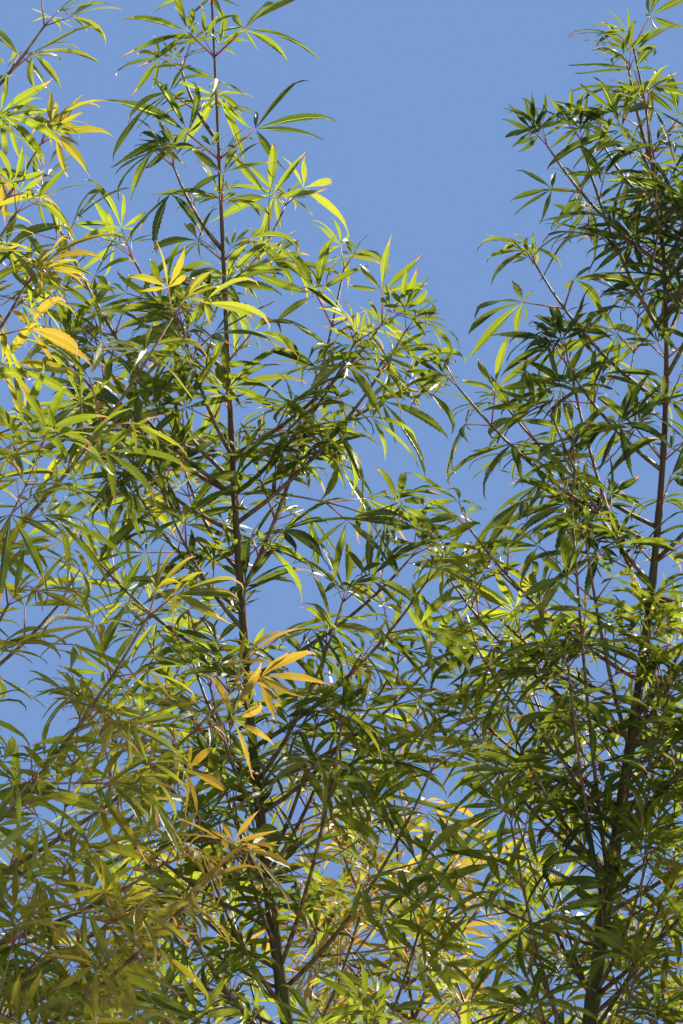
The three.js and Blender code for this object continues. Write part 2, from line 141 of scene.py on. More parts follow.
# %% Where the limbs go
LIMBS = {
    "limb_left": dict(
        start=(-0.019, -0.008, 0.35), tip=(-0.118, 0, 2.01),
        leave=0.3, lean=0.2, radii=(0.021, 0.0076)),
    "limb_right": dict(
        start=(0.021, -0.008, 0.35), tip=(0.118, 0.04, 2.01),
        leave=0.25, lean=0.1, radii=(0.023, 0.009)),
    "limb_back": dict(
        start=(0.001, 0.024, 0.35), tip=(0.04, 0.6, 1.64),
        leave=0.8, lean=0.2, radii=(0.02, 0.0075)),
    "bough_west": dict(
        on="limb_left", at=0.3, tip=(-0.76, -0.06, 1.72),
        leave=1.1, lean=0.28, radii=(0.013, 0.007)),
    "bough_front_left": dict(
        on="limb_left", at=0.17, tip=(-0.44, -0.52, 1.85),
        leave=0.9, lean=0.2, radii=(0.014, 0.007)),
    "bough_east": dict(
        on="limb_right", at=0.33, tip=(0.77, 0, 1.78),
        leave=1.1, lean=0.25, radii=(0.013, 0.007)),
    "bough_front_right": dict(
        on="limb_right", at=0.2, tip=(0.4, -0.52, 1.48),
        leave=0.9, lean=0.2, radii=(0.013, 0.0065)),
    "bough_back_left": dict(
        on="limb_back", at=0.24, tip=(-0.54, 0.52, 1.78),
        leave=1, lean=0.22, radii=(0.013, 0.007)),
    "bough_back_right": dict(
        on="limb_back", at=0.36, tip=(0.64, 0.52, 1.82),
        leave=1.1, lean=0.22, radii=(0.012, 0.007)),
    "side_bough_front": dict(
        on="bough_front_right", at=0.2, tip=(0.02, -0.64, 1.2),
        leave=1.1, lean=0.5, radii=(0.008, 0.005)),
    "side_bough_front_left": dict(
        on="bough_front_left", at=0.26, tip=(-0.64, -0.52, 1.29),
        leave=1.2, lean=0.6, radii=(0.008, 0.005)),
    "side_bough_west": dict(
        on="bough_west", at=0.22, tip=(-0.74, 0.26, 1.32),
        leave=1.2, lean=0.6, radii=(0.008, 0.005)),
    "side_bough_back_left": dict(
        on="bough_back_left", at=0.26, tip=(-0.4, 0.76, 1.3),
        leave=1.2, lean=0.5, radii=(0.008, 0.005)),
    "side_bough_back": dict(
        on="limb_back", at=0.48, tip=(0.17, 0.83, 1.32),
        leave=1, lean=0.5, radii=(0.009, 0.005)),
    "side_bough_back_right": dict(
        on="bough_back_right", at=0.24, tip=(0.8, 0.58, 1.3),
        leave=1.3, lean=0.6, radii=(0.008, 0.005)),
    "side_bough_east": dict(
        on="bough_east", at=0.24, tip=(0.82, -0.27, 1.33),
        leave=1.2, lean=0.6, radii=(0.008, 0.005)),
    "side_bough_front_right": dict(
        on="bough_front_right", at=0.4, tip=(0.66, -0.43, 1.29),
        leave=1.2, lean=0.6, radii=(0.008, 0.005)),
    "mid_bough_front": dict(
        on="limb_left", at=0.48, tip=(-0.07, -0.26, 1.66),
        leave=1.1, lean=0.3, radii=(0.008, 0.005)),
    "mid_bough_right": dict(
        on="limb_right", at=0.5, tip=(0.4, 0.13, 1.7),
        leave=1.1, lean=0.3, radii=(0.008, 0.005)),
}
print(len(LIMBS), "limbs and boughs")

# %% [markdown]
# A limb is one smooth bend, so it is a Bezier curve of four handles: its two ends, and one handle
# near each that pulls the curve to its slope there. A point on the curve is found by sharing out
# the lines between the handles again and again until one point is left. The same function then
# serves the three-handled curves of the side shoots.

# %% Curves
UP = np.array([0.0, 0.0, 1.0])
PULL = 0.36
SAMPLES = np.linspace(0, 1, 13)
FINE_SAMPLES = np.linspace(0, 1, 201)


def unit(vectors):
    return vectors / np.linalg.norm(vectors, axis=-1, keepdims=True)


def sloping(start, end, slope):
    outward = unit((end - start) * (1, 1, 0))
    return unit(outward * slope + UP)


def bend(start, leaving, end, arriving):
    pull = PULL * np.linalg.norm(end - start)
    return np.array([start, start + leaving * pull, end - arriving * pull, end])


def along(handles, shares):
    shares = np.atleast_1d(shares)[:, None]
    points = list(handles)
    while len(points) > 1:
        points = [a + (b - a) * shares for a, b in zip(points, points[1:])]
    return points[0]


def heading_at(handles, share):
    return unit(along(np.diff(handles, axis=0), share))[0]


def length_of(handles):
    return np.linalg.norm(np.diff(along(handles, FINE_SAMPLES), axis=0), axis=1).sum()


for limb in LIMBS.values():
    parent = LIMBS.get(limb.get("on"))
    start = along(parent["curve"], limb["at"])[0] if parent else np.array(limb["start"])
    tip = np.array(limb["tip"])
    limb["heading"] = sloping(start, tip, limb["lean"])
    limb["curve"] = bend(start, sloping(start, tip, limb["leave"]), tip, limb["heading"])
print("longest limb:", round(max(length_of(limb["curve"]) for limb in LIMBS.values()), 2), "m")

# %% [markdown]
# Each mass of foliage has one stem that carries on from its bough's tip. Its own space is all that
# lies nearer to its stem than to any other, within its reach. The masses so share the room without
# growing through each other, as real leaders shade each other out. A row for a shoot holds the
# height at which it leaves the stem, and its way from there. The first two lists are the shoots
# that the solids have on the two middle leaders. The other lists hold finer shoots, which only the
# dressed tree has, placed where the photograph shows leaves. Elsewhere the shoots come in
# opposite pairs by a rule. fine is the step between the pairs of finer shoots, and how far up the
# stem they go, and open_between the heights without them, where the sky shows through. ripeness is
# how far the leaves have turned from deep green at 0 to gold at 1, and tops_ripen how much riper
# the top is than the foot. twiggy is the share of the buds that make a twig instead of two leaves.
# The ripeness also sets painted light: the deep green it picks at the low end partly stands for
# leaves in shade, and the lime higher up partly for the glow of leaves with the sun behind them.

# %% Where the masses go
SEAT_GAP = 0.0003
FIRST_SEED = 101
SEED_STEP = 37

LEFT_CROWN_SHOOTS = [
    (2.09, (-0.15, -0.17, 0.12)),
    (2.11, (0.13, 0.18, 0.12)),
    (2.238, (0.145, -0.04, 0.21)),
    (2.24, (-0.12, 0.06, 0.095)),
    (2.413, (0.136, 0.05, 0.165)),
    (2.43, (-0.15, -0.07, 0.07)),
    (2.55, (0.205, -0.03, 0.15)),
    (2.556, (-0.17, 0.05, 0.152)),
    (2.637, (0.103, 0.02, 0.35)),
    (2.753, (-0.195, -0.03, 0.3)),
    (2.96, (0.06, 0.11, 0.13)),
]
RIGHT_CROWN_SHOOTS = [
    (2.1, (-0.11, 0.17, 0.15)),
    (2.12, (0.15, -0.15, 0.12)),
    (2.29, (-0.16, -0.05, 0.06)),
    (2.352, (-0.035, -0.07, 0.365)),
    (2.426, (-0.155, 0.03, 0.12)),
    (2.44, (0.13, 0.04, 0.08)),
    (2.535, (-0.142, 0.06, 0.115)),
    (2.634, (-0.081, -0.02, 0.271)),
    (2.684, (0.12, -0.05, 0.16)),
    (2.92, (-0.085, -0.01, 0.215)),
    (2.96, (0.07, 0.06, 0.12)),
]
FORE_SHOOTS = [
    (1.95, (0.24, 0.02, 0.15)),
    (2.05, (0.26, -0.02, 0.20)),
    (2.12, (0.18, 0.05, 0.10)),
    (2.16, (0.22, 0.04, 0.10)),
    (2.20, (0.28, 0.00, 0.20)),
    (2.34, (0.10, -0.04, 0.12)),
    (2.36, (0.14, 0.03, 0.12)),
    (2.44, (0.24, -0.02, 0.28)),
    (2.60, (0.12, -0.03, 0.14)),
    (2.72, (0.13, 0.03, 0.17)),
    (2.84, (0.14, -0.04, 0.13)),
]
LEFT_FINE_SHOOTS = [
    (2.12, (-0.05, 0.04, 0.13)),
    (2.16, (-0.10, 0.03, 0.14)),
    (2.20, (-0.16, 0.05, 0.12)),
    (2.22, (-0.08, -0.04, 0.15)),
    (2.28, (-0.04, -0.06, 0.13)),
    (2.30, (-0.09, 0.02, 0.15)),
    (2.30, (-0.15, -0.03, 0.10)),
    (2.34, (-0.05, 0.05, 0.13)),
    (2.36, (0.05, -0.05, 0.13)),
    (2.40, (-0.05, -0.05, 0.13)),
    (2.44, (-0.07, 0.04, 0.15)),
    (2.44, (0.17, 0.04, 0.13)),
    (2.48, (0.17, -0.03, 0.16)),
    (2.60, (-0.08, -0.04, 0.13)),
    (2.62, (-0.12, 0.05, 0.16)),
    (2.66, (-0.06, 0.06, 0.13)),
    (2.70, (-0.15, 0.05, 0.14)),
    (2.71, (0.17, -0.04, 0.19)),
    (2.74, (-0.13, -0.06, 0.12)),
    (2.74, (0.12, -0.03, 0.15)),
    (2.74, (-0.16, -0.04, 0.12)),
    (2.78, (0.17, 0.03, 0.08)),
    (2.78, (-0.05, -0.06, 0.12)),
    (2.78, (0.15, -0.03, 0.13)),
    (2.87, (-0.10, 0.02, 0.13)),
    (3.00, (-0.05, -0.03, 0.08)),
    (3.12, (-0.04, 0.03, 0.09)),
]
RIGHT_FINE_SHOOTS = [
    (2.04, (-0.05, 0.07, 0.13)),
    (2.06, (0.07, -0.10, 0.13)),
    (2.08, (0.10, 0.06, 0.13)),
    (2.12, (0.05, -0.10, 0.12)),
    (2.13, (-0.05, -0.10, 0.12)),
    (2.16, (0.06, 0.08, 0.14)),
    (2.18, (-0.05, 0.05, 0.12)),
    (2.20, (0.08, -0.05, 0.15)),
    (2.22, (0.09, 0.03, 0.12)),
    (2.24, (0.05, -0.07, 0.12)),
    (2.24, (-0.03, 0.08, 0.13)),
    (2.36, (-0.17, 0.00, 0.19)),
    (2.36, (-0.10, -0.06, 0.14)),
    (2.34, (0.05, 0.05, 0.13)),
    (2.40, (0.05, -0.05, 0.13)),
    (2.40, (0.09, 0.04, 0.12)),
    (2.43, (-0.18, -0.03, 0.20)),
    (2.45, (0.10, 0.05, 0.13)),
    (2.48, (0.04, 0.06, 0.14)),
    (2.50, (-0.18, 0.05, 0.18)),
    (2.50, (0.08, -0.04, 0.14)),
    (2.52, (0.07, -0.04, 0.12)),
    (2.56, (-0.17, -0.06, 0.14)),
    (2.58, (-0.14, 0.03, 0.10)),
    (2.66, (-0.10, -0.05, 0.16)),
    (2.72, (-0.15, 0.04, 0.14)),
    (2.70, (-0.20, -0.03, 0.16)),
    (2.78, (-0.10, -0.05, 0.10)),
    (2.85, (-0.13, 0.00, 0.15)),
    (2.88, (0.06, -0.06, 0.15)),
    (2.92, (0.04, 0.08, 0.15)),
    (2.94, (0.05, -0.08, 0.14)),
    (2.95, (0.08, 0.00, 0.12)),
    (2.98, (0.07, -0.04, 0.13)),
    (3.00, (0.04, 0.06, 0.12)),
    (3.00, (-0.12, -0.03, 0.12)),
    (2.96, (0.10, 0.02, 0.13)),
    (3.02, (-0.02, -0.08, 0.12)),
    (3.03, (0.05, 0.05, 0.12)),
    (3.06, (-0.06, 0.04, 0.10)),
    (3.10, (-0.03, -0.06, 0.09)),
]
BACK_FINE_SHOOTS = [
    (2.20, (-0.13, -0.08, 0.13)),
    (2.32, (-0.15, -0.03, 0.14)),
    (2.38, (-0.08, -0.09, 0.13)),
    (2.45, (-0.10, 0.03, 0.13)),
]
MASSES = {
    "left_crown": dict(
        on="limb_left", top=(-0.238, 0.01, 3.33), lean=0.06, reach=0.4,
        ripeness_and_painted_light=0.36, tops_ripen=-0.05, shoots=LEFT_CROWN_SHOOTS, more=LEFT_FINE_SHOOTS,
        fine=(0.085, 0.54), open_between=(2.46, 2.72), leaf_size=1.01, twiggy=0.2),
    "right_crown": dict(
        on="limb_right", top=(0.205, 0.05, 3.24), lean=-0.2, reach=0.4,
        ripeness_and_painted_light=0.33, tops_ripen=-0.4, shoots=RIGHT_CROWN_SHOOTS, more=RIGHT_FINE_SHOOTS,
        fine=(0.085, 0.66), open_between=(2.56, 2.88), leaf_size=0.99, twiggy=0.25),
    "back_crown": dict(
        on="limb_back", top=(-0.04, 0.7, 2.6), lean=0.05, reach=0.4, ripeness_and_painted_light=0.72,
        more=BACK_FINE_SHOOTS, fine=(0.1, 0.94)),
    "west_crown": dict(
        on="bough_west", top=(-0.87, -0.06, 2.7), lean=0.05, reach=0.4, ripeness_and_painted_light=0.35),
    "front_left_crown": dict(
        on="bough_front_left", top=(-0.5, -0.62, 2.96), lean=0.05, reach=0.38,
        ripeness_and_painted_light=0.43, tops_ripen=-0.2, more=FORE_SHOOTS, more_ripens=0.16,
        fine=(0.15, 0.86), open_between=(2.2, 2.52), tips_turn=0.5, leaf_size=0.94, twiggy=0.45),
    "east_crown": dict(
        on="bough_east", top=(0.88, 0.02, 2.76), lean=0.05, reach=0.4, ripeness_and_painted_light=0.3),
    "front_right_crown": dict(
        on="bough_front_right", top=(0.43, -0.64, 2.18), lean=0.1, reach=0.38, ripeness_and_painted_light=0.3),
    "back_left_crown": dict(
        on="bough_back_left", top=(-0.64, 0.6, 2.86), lean=0.05, reach=0.4, ripeness_and_painted_light=0.7,
        open_between=(2.4, 2.8)),
    "back_right_crown": dict(
        on="bough_back_right", top=(0.72, 0.6, 2.84), lean=0.05, reach=0.4, ripeness_and_painted_light=0.35),
    "front_mass": dict(
        on="side_bough_front", top=(0, -0.8, 1.72), lean=0.2, reach=0.38, ripeness_and_painted_light=0.3),
    "front_left_mass": dict(
        on="side_bough_front_left", top=(-0.79, -0.62, 1.8), lean=0.3, reach=0.38, ripeness_and_painted_light=0.5),
    "west_mass": dict(
        on="side_bough_west", top=(-0.9, 0.35, 1.86), lean=0.3, reach=0.38, ripeness_and_painted_light=0.35),
    "back_left_mass": dict(
        on="side_bough_back_left", top=(-0.43, 0.9, 1.84), lean=0.2, reach=0.38, ripeness_and_painted_light=0.45),
    "back_mass": dict(
        on="side_bough_back", top=(0.22, 0.98, 1.82), lean=0.2, reach=0.38, ripeness_and_painted_light=0.4),
    "back_right_mass": dict(
        on="side_bough_back_right", top=(0.96, 0.66, 1.82), lean=0.3, reach=0.38, ripeness_and_painted_light=0.35),
    "east_mass": dict(
        on="side_bough_east", top=(0.98, -0.34, 1.86), lean=0.3, reach=0.38, ripeness_and_painted_light=0.3),
    "front_right_mass": dict(
        on="side_bough_front_right", top=(0.83, -0.6, 1.72), lean=0.3, reach=0.36, ripeness_and_painted_light=0.3),
    "mid_front_mass": dict(
        on="mid_bough_front", top=(-0.06, -0.36, 2.14), lean=0.1, reach=0.34, ripeness_and_painted_light=0.3,
        leaf_size=0.88, twiggy=0.45),
    "mid_right_mass": dict(
        on="mid_bough_right", top=(0.47, 0.11, 2.33), lean=0.1, reach=0.34, ripeness_and_painted_light=0.3,
        leaf_size=0.88, twiggy=0.45),
}
for index, mass in enumerate(MASSES.values()):
    bough = LIMBS[mass["on"]]
    foot = bough["curve"][-1] + bough["heading"] * SEAT_GAP
    top = np.array(mass["top"])
    mass["curve"] = bend(foot, bough["heading"], top, sloping(foot, top, mass["lean"]))
    mass["seed"] = FIRST_SEED + SEED_STEP * index


def lines_of(rows):
    return np.array([along(row["curve"], SAMPLES) for row in rows.values()])


MASS_LINES = lines_of(MASSES)
LIMB_LINES = lines_of(LIMBS)
REACHES = np.array([mass["reach"] for mass in MASSES.values()])
LIMB_RADII = np.array([limb["radii"][0] for limb in LIMBS.values()])
print(len(MASSES), "masses of foliage")

# %% [markdown]
# Bark is a finish that every limb shares, at other scales. On a young limb of this maple it is
# smooth and olive, with fine pale streaks along the limb, and at each pair of buds there is a
# slightly swollen joint with a pale ring. Such marks could be painted on an image. Here they are
# worked out from the limb's own UV map, whose u runs round it and whose v counts the joints.
# The pattern is a node group, so that the green bark and the bark of the stems both use it.
# u is turned into a circle, because a plain noise would show a seam where u jumps from 1 to 0.

# %% Short ways to place shader nodes
def wire(tree, kind, settings=None, **inputs):
    made = tree.nodes.new(kind)
    for name, value in (settings or {}).items():
        setattr(made, name, value)
    for name, value in inputs.items():
        numbered = name[1:].isdigit()  # i0 is the first input, where two inputs share a name
        socket = made.inputs[int(name[1:]) if numbered else name.replace("_", " ")]
        if isinstance(value, bpy.types.NodeSocket):
            tree.links.new(value, socket)
        else:
            socket.default_value = value
    return made


def maths(tree, operation, first, second=0.0):
    return wire(tree, "ShaderNodeMath", {"operation": operation}, i0=first, i1=second).outputs[0]


def noise_in(tree, place, scale, detail, roughness=0.5):
    return wire(
        tree, "ShaderNodeTexNoise", Vector=place, Scale=scale, Detail=detail, Roughness=roughness,
    ).outputs[0]


def object_place(tree):
    return wire(tree, "ShaderNodeTexCoord").outputs["Object"]


def ramp(tree, value, stops):
    made = wire(tree, "ShaderNodeValToRGB", Fac=value)
    elements = made.color_ramp.elements
    while len(elements) < len(stops):
        elements.new(0.5)
    for element, (place, colour) in zip(elements, stops):
        element.position = place
        element.color = (*colour, 1)
    return made.outputs["Color"]


def grey(value):
    return (value, value, value)


def fading(tree, value, whole_at, gone_at):
    """1 where the value is whole_at or less, and 0 from gone_at on."""
    return wire(
        tree, "ShaderNodeMapRange", Value=value, i1=whole_at, i2=gone_at, i3=1.0, i4=0.0).outputs[0]


def mixed(tree, share, first, second):
    made = wire(tree, "ShaderNodeMix", {"data_type": "RGBA"})
    for place, value in ((0, share), (6, first), (7, second)):
        if isinstance(value, bpy.types.NodeSocket):
            tree.links.new(value, made.inputs[place])
        elif place:
            made.inputs[place].default_value = (*value, 1)
        else:
            made.inputs[place].default_value = value
    return made.outputs[2]


def new_group(name, **inputs):
    group = bpy.data.node_groups.new(name, "ShaderNodeTree")
    for label, value in inputs.items():
        socket = group.interface.new_socket(
            label.replace("_", " "), in_out="INPUT", socket_type="NodeSocketFloat")
        socket.default_value = value
    return group, group.nodes.new("NodeGroupInput").outputs


def give_out(group, **outputs):
    for label in outputs:
        kind = "NodeSocketColor" if label == "Colour" else "NodeSocketFloat"
        group.interface.new_socket(label, in_out="OUTPUT", socket_type=kind)
    result = group.nodes.new("NodeGroupOutput")
    for label, value in outputs.items():
        group.links.new(value, result.inputs[label])
    return group


print("the helpers for shader nodes are ready")

# %% A node group for the marks of young bark
def young_bark_marks():
    group, given = new_group(
        "young_bark_marks", Streaks_Round=5.0, Streaks_Along=0.9, Ring_Width=0.05)
    uv = group.nodes.new("ShaderNodeUVMap").outputs[0]
    split = wire(group, "ShaderNodeSeparateXYZ", Vector=uv).outputs
    turn = maths(group, "MULTIPLY", split[0], 2 * np.pi)
    across = maths(group, "MULTIPLY", maths(group, "COSINE", turn), given["Streaks Round"])
    round_it = maths(group, "MULTIPLY", maths(group, "SINE", turn), given["Streaks Round"])
    up_it = maths(group, "MULTIPLY", split[1], given["Streaks Along"])
    place = wire(group, "ShaderNodeCombineXYZ", X=across, Y=round_it, Z=up_it).outputs[0]
    fibres = noise_in(group, place, scale=1.6, detail=3.0, roughness=0.6)
    streaks = ramp(group, fibres, [(0.52, grey(0)), (0.66, grey(1))])
    to_nearest_joint = maths(group, "PINGPONG", split[1], 0.5)
    rings = fading(group, to_nearest_joint, 0.0, given["Ring Width"])
    patches = noise_in(group, place, scale=0.35, detail=2.0)
    return give_out(group, Streaks=streaks, Rings=rings, Patches=patches)


BARK_MARKS = young_bark_marks()
print("node group:", BARK_MARKS.name)

# %% [markdown]
# Three finishes use the marks or go without them. The trunk is the oldest wood: grey brown, with
# long shallow furrows and a green bloom, which lie along it in its own coordinates, stretched
# upward. Its look is a node group too, because the limbs start with it just above the fork. They
# turn olive with pale streaks higher up, in patches, since old bark doesn't end at a line. The
# stems that carry the foliage start olive and turn purple brown towards their tips, where the wood
# is this year's. How old the wood is at each point is an attribute of the mesh, called age, which
# the material reads.

# %% A node group for old wood
def old_wood():
    group, given = new_group("old_wood", Furrow_Scale=120.0, Patch_Scale=14.0)
    here = object_place(group)
    stretched = wire(group, "ShaderNodeMapping", Vector=here, Scale=(1, 1, 0.16)).outputs[0]
    furrows = noise_in(group, stretched, given["Furrow Scale"], detail=5.0, roughness=0.62)
    patches = noise_in(group, here, given["Patch Scale"], detail=3.0)
    grey_brown = ramp(group, furrows, [
        (0.32, (0.045, 0.034, 0.024)),
        (0.5, (0.145, 0.118, 0.082)),
        (0.68, (0.27, 0.235, 0.175)),
    ])
    bloom = ramp(group, patches, [(0.5, grey(0)), (0.72, grey(0.5))])
    colour = mixed(group, bloom, grey_brown, (0.12, 0.135, 0.055))
    return give_out(group, Colour=colour, Furrows=furrows, Patches=patches)


OLD_WOOD = old_wood()
print("node group:", OLD_WOOD.name)

# %% Bark materials
ALL_OLD = 0.58  # below this height in metres all the bark is old, and above the next none is
ALL_YOUNG = 0.95
PATCH_RISE = 0.6  # how far up and down the patches carry the change between the two
BARK_SHINE = 0.12
BARK_RELIEF = 0.7
STREAK_RELIEF = 0.0006
STEM_RELIEF = 0.0004
FURROW_RELIEF = 0.004


def group_in(tree, group, **inputs):
    return wire(tree, "ShaderNodeGroup", {"node_tree": group}, **inputs).outputs


def finish(tree, shader, colour, roughness, shine, height, strength, depth):
    tree.links.new(colour, shader.inputs["Base Color"])
    tree.links.new(roughness, shader.inputs["Roughness"])
    shader.inputs["Specular IOR Level"].default_value = shine
    bump = wire(tree, "ShaderNodeBump", Height=height, Strength=strength, Distance=depth)
    tree.links.new(bump.outputs[0], shader.inputs["Normal"])


def finished_bark(name, colour_and_roughness, depth):
    """A bark material. The function given puts its colour, roughness and relief together."""
    material, tree, shader = new_material(name)
    colour, roughness, height = colour_and_roughness(tree)
    finish(tree, shader, colour, roughness, BARK_SHINE, height, BARK_RELIEF, depth)
    return material


def old_below(tree, patches):
    height = wire(tree, "ShaderNodeSeparateXYZ", Vector=object_place(tree)).outputs[2]
    ragged = maths(tree, "ADD", height, maths(tree, "MULTIPLY", patches, PATCH_RISE))
    return fading(tree, ragged, ALL_OLD + PATCH_RISE / 2, ALL_YOUNG + PATCH_RISE / 2)


def marked(tree, marks, base, streak, streak_share, ring, ring_share):
    streaked = mixed(tree, maths(tree, "MULTIPLY", marks["Streaks"], streak_share), base, streak)
    return mixed(tree, maths(tree, "MULTIPLY", marks["Rings"], ring_share), streaked, ring)


def young_relief(tree, marks, smooth, rough):
    roughness = ramp(tree, marks["Streaks"], [(0, grey(smooth)), (1, grey(rough))])
    return roughness, maths(tree, "ADD", marks["Streaks"], marks["Rings"])


def limb_look(tree):
    marks = group_in(tree, BARK_MARKS, Streaks_Round=5.0, Streaks_Along=0.8, Ring_Width=0.05)
    green = ramp(tree, marks["Patches"], [
        (0.3, (0.052, 0.062, 0.016)),
        (0.7, (0.110, 0.128, 0.036)),
    ])
    young = marked(tree, marks, green, (0.28, 0.29, 0.17), 0.55, (0.24, 0.20, 0.13), 0.6)
    wood = group_in(tree, OLD_WOOD, Furrow_Scale=130.0, Patch_Scale=14.0)
    colour = mixed(tree, old_below(tree, wood["Patches"]), young, wood["Colour"])
    return colour, *young_relief(tree, marks, 0.56, 0.74)


def stem_look(tree):
    marks = group_in(tree, BARK_MARKS, Streaks_Round=3.0, Streaks_Along=1.2, Ring_Width=0.07)
    age = wire(tree, "ShaderNodeAttribute", {"attribute_name": "age"}).outputs["Fac"]
    base = ramp(tree, age, [
        (0.0, (0.120, 0.072, 0.036)),
        (0.25, (0.066, 0.056, 0.020)),
        (1.0, (0.088, 0.104, 0.024)),
    ])
    colour = marked(tree, marks, base, (0.26, 0.22, 0.15), 0.3, (0.40, 0.24, 0.19), 0.7)
    return colour, *young_relief(tree, marks, 0.62, 0.76)


def trunk_look(tree):
    wood = group_in(tree, OLD_WOOD, Furrow_Scale=120.0, Patch_Scale=14.0)
    roughness = ramp(tree, wood["Furrows"], [(0.3, grey(0.92)), (0.7, grey(0.7))])
    return wood["Colour"], roughness, wood["Furrows"]


LIMB_BARK = finished_bark("green_limb_bark", limb_look, STREAK_RELIEF)
STEM_BARK = finished_bark("stem_bark", stem_look, STEM_RELIEF)
TRUNK_BARK = finished_bark("old_trunk_bark", trunk_look, FURROW_RELIEF)
print("bark materials:", LIMB_BARK.name, STEM_BARK.name, TRUNK_BARK.name)

# %% [markdown]
# A limb is modelled as a Bezier curve with thickness. Its two ends get the handles worked out
# above, the curve is subdivided, and each new point gets a radius, as when a limb is drawn by hand
# with a pen that gives width. Every eighth point is a joint, with a radius a little larger, and the
# foot widens into a collar where it leaves another limb. Then the curve is converted to a mesh. A
# converted curve brings a UV map that runs 0 to 1, and multiplying its v by the number of joints
# gives the bark its rings. A fine Displace then takes away the last of its machine-made look.

# %% A curve with thickness
JOINT_SPACING = 0.072
RINGS_A_JOINT = 8


def select_only(*pieces):
    bpy.ops.object.select_all(action="DESELECT")
    for piece in pieces:
        piece.select_set(True)
    bpy.context.view_layer.objects.active = pieces[0]


def add_bezier(name, handles):
    bpy.ops.object.select_all(action="DESELECT")
    bpy.ops.curve.primitive_bezier_curve_add()
    curve = bpy.context.object
    curve.name = name
    first, last = curve.data.splines[0].bezier_points
    for point in (first, last):
        point.handle_left_type = "FREE"
        point.handle_right_type = "FREE"
    first.co = handles[0]
    first.handle_right = handles[1]
    first.handle_left = 2 * handles[0] - handles[1]
    last.co = handles[3]
    last.handle_left = handles[2]
    last.handle_right = 2 * handles[3] - handles[2]
    return curve


def thick_curve(name, handles, rings, radius_of, roundness):
    """The curve in so many rings, each with the radius that radius_of gives it, made a mesh."""
    curve = add_bezier(name, handles)
    bpy.ops.object.mode_set(mode="EDIT")
    bpy.ops.curve.select_all(action="SELECT")
    bpy.ops.curve.subdivide(number_cuts=rings - 1)
    bpy.ops.object.mode_set(mode="OBJECT")
    for ring, point in enumerate(curve.data.splines[0].bezier_points):
        point.radius = radius_of(ring, point.co)
    curve.data.dimensions = "3D"
    curve.data.resolution_u = 1
    curve.data.bevel_depth = 1.0
    curve.data.bevel_resolution = roundness
    curve.data.use_fill_caps = True
    bpy.ops.object.convert(target="MESH")
    return bpy.context.object


print("a joint every", JOINT_SPACING, "m, and", RINGS_A_JOINT, "rings from one to the next")

# %% The marks of age on a limb's mesh
YOUNG_RADIUS = 0.0026
OLD_RADIUS = 0.0085
AGE_SAMPLES = np.linspace(0, 1, 60)

relief = bpy.data.textures.new("bark_relief", "CLOUDS")
relief.noise_scale = 0.02
relief.noise_depth = 3


def radius_at(radii, taper, share):
    return radii[1] + (radii[0] - radii[1]) * (1 - share) ** taper


def vertices_of(mesh):
    points = np.empty(3 * len(mesh.vertices))
    mesh.vertices.foreach_get("co", points)
    return points.reshape(-1, 3)


def mark_age(mesh, handles, radii, taper):
    line = along(handles, AGE_SAMPLES)
    points = vertices_of(mesh)
    nearest = np.linalg.norm(points[:, None] - line[None], axis=2).argmin(axis=1)
    radius = radius_at(radii, taper, AGE_SAMPLES[nearest])
    age = np.clip((radius - YOUNG_RADIUS) / (OLD_RADIUS - YOUNG_RADIUS), 0, 1)
    mesh.attributes.new("age", "FLOAT", "POINT").data.foreach_set("value", age)


def count_joints(mesh, joints):
    uv = np.empty(2 * len(mesh.loops))
    mesh.uv_layers[0].data.foreach_get("uv", uv)
    uv[1::2] *= joints
    mesh.uv_layers[0].data.foreach_set("uv", uv)


def displace(piece, texture, strength, mid_level, stretched_by=None):
    modifier = piece.modifiers.new("relief", "DISPLACE")
    modifier.texture = texture
    modifier.texture_coords = "OBJECT" if stretched_by else "LOCAL"
    modifier.texture_coords_object = stretched_by
    modifier.strength = strength
    modifier.mid_level = mid_level
    bpy.ops.object.modifier_apply(modifier=modifier.name)


print("wood counts as old from", OLD_RADIUS, "m of radius on")

# %% The limbs and their bark
JOINT_SWELLING = (0.16, 0.05)
COLLAR = 0.3
COLLAR_RISE = 2.4
COLLAR_FOOT = 0.8  # how far the limb draws in at its foot, which is inside its parent
COLLAR_FOOT_SHARE = 0.35
COLLAR_LENGTH = 1.6  # in radii of the parent
LIMB_TAPER = 1.0
STEM_TAPER = 1.3
RELIEF_SHARE = 0.05


def swelling_at(ring):
    from_joint = min(ring % RINGS_A_JOINT, -ring % RINGS_A_JOINT)
    return JOINT_SWELLING[from_joint] if from_joint < len(JOINT_SWELLING) else 0


def collar_at(from_foot, collar_length):
    """How much wider the limb is: most where it comes out of its parent."""
    if not collar_length:
        return 0
    share = from_foot / collar_length
    foot = COLLAR_FOOT * np.exp(-((share / COLLAR_FOOT_SHARE) ** 2))
    return COLLAR * (COLLAR_RISE * share * np.exp(-(share**2)) - foot)


def swept(name, handles, radii, taper, collar_length, material):
    joints = max(2, round(length_of(handles) / JOINT_SPACING))
    rings = joints * RINGS_A_JOINT

    def radius_of(ring, place):
        collar = collar_at(np.linalg.norm(np.array(place) - handles[0]), collar_length)
        return radius_at(radii, taper, ring / rings) * (1 + swelling_at(ring) + collar)

    piece = thick_curve(name, handles, rings, radius_of, roundness=4)
    piece.data.name = name
    piece.data.materials.clear()
    piece.data.materials.append(material)
    count_joints(piece.data, joints)
    mark_age(piece.data, handles, radii, taper)
    displace(piece, relief, strength=RELIEF_SHARE * radii[0], mid_level=0.5)
    bpy.ops.object.shade_smooth()
    return piece


def dress(piece, node):
    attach(piece, "root")
    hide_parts(node)


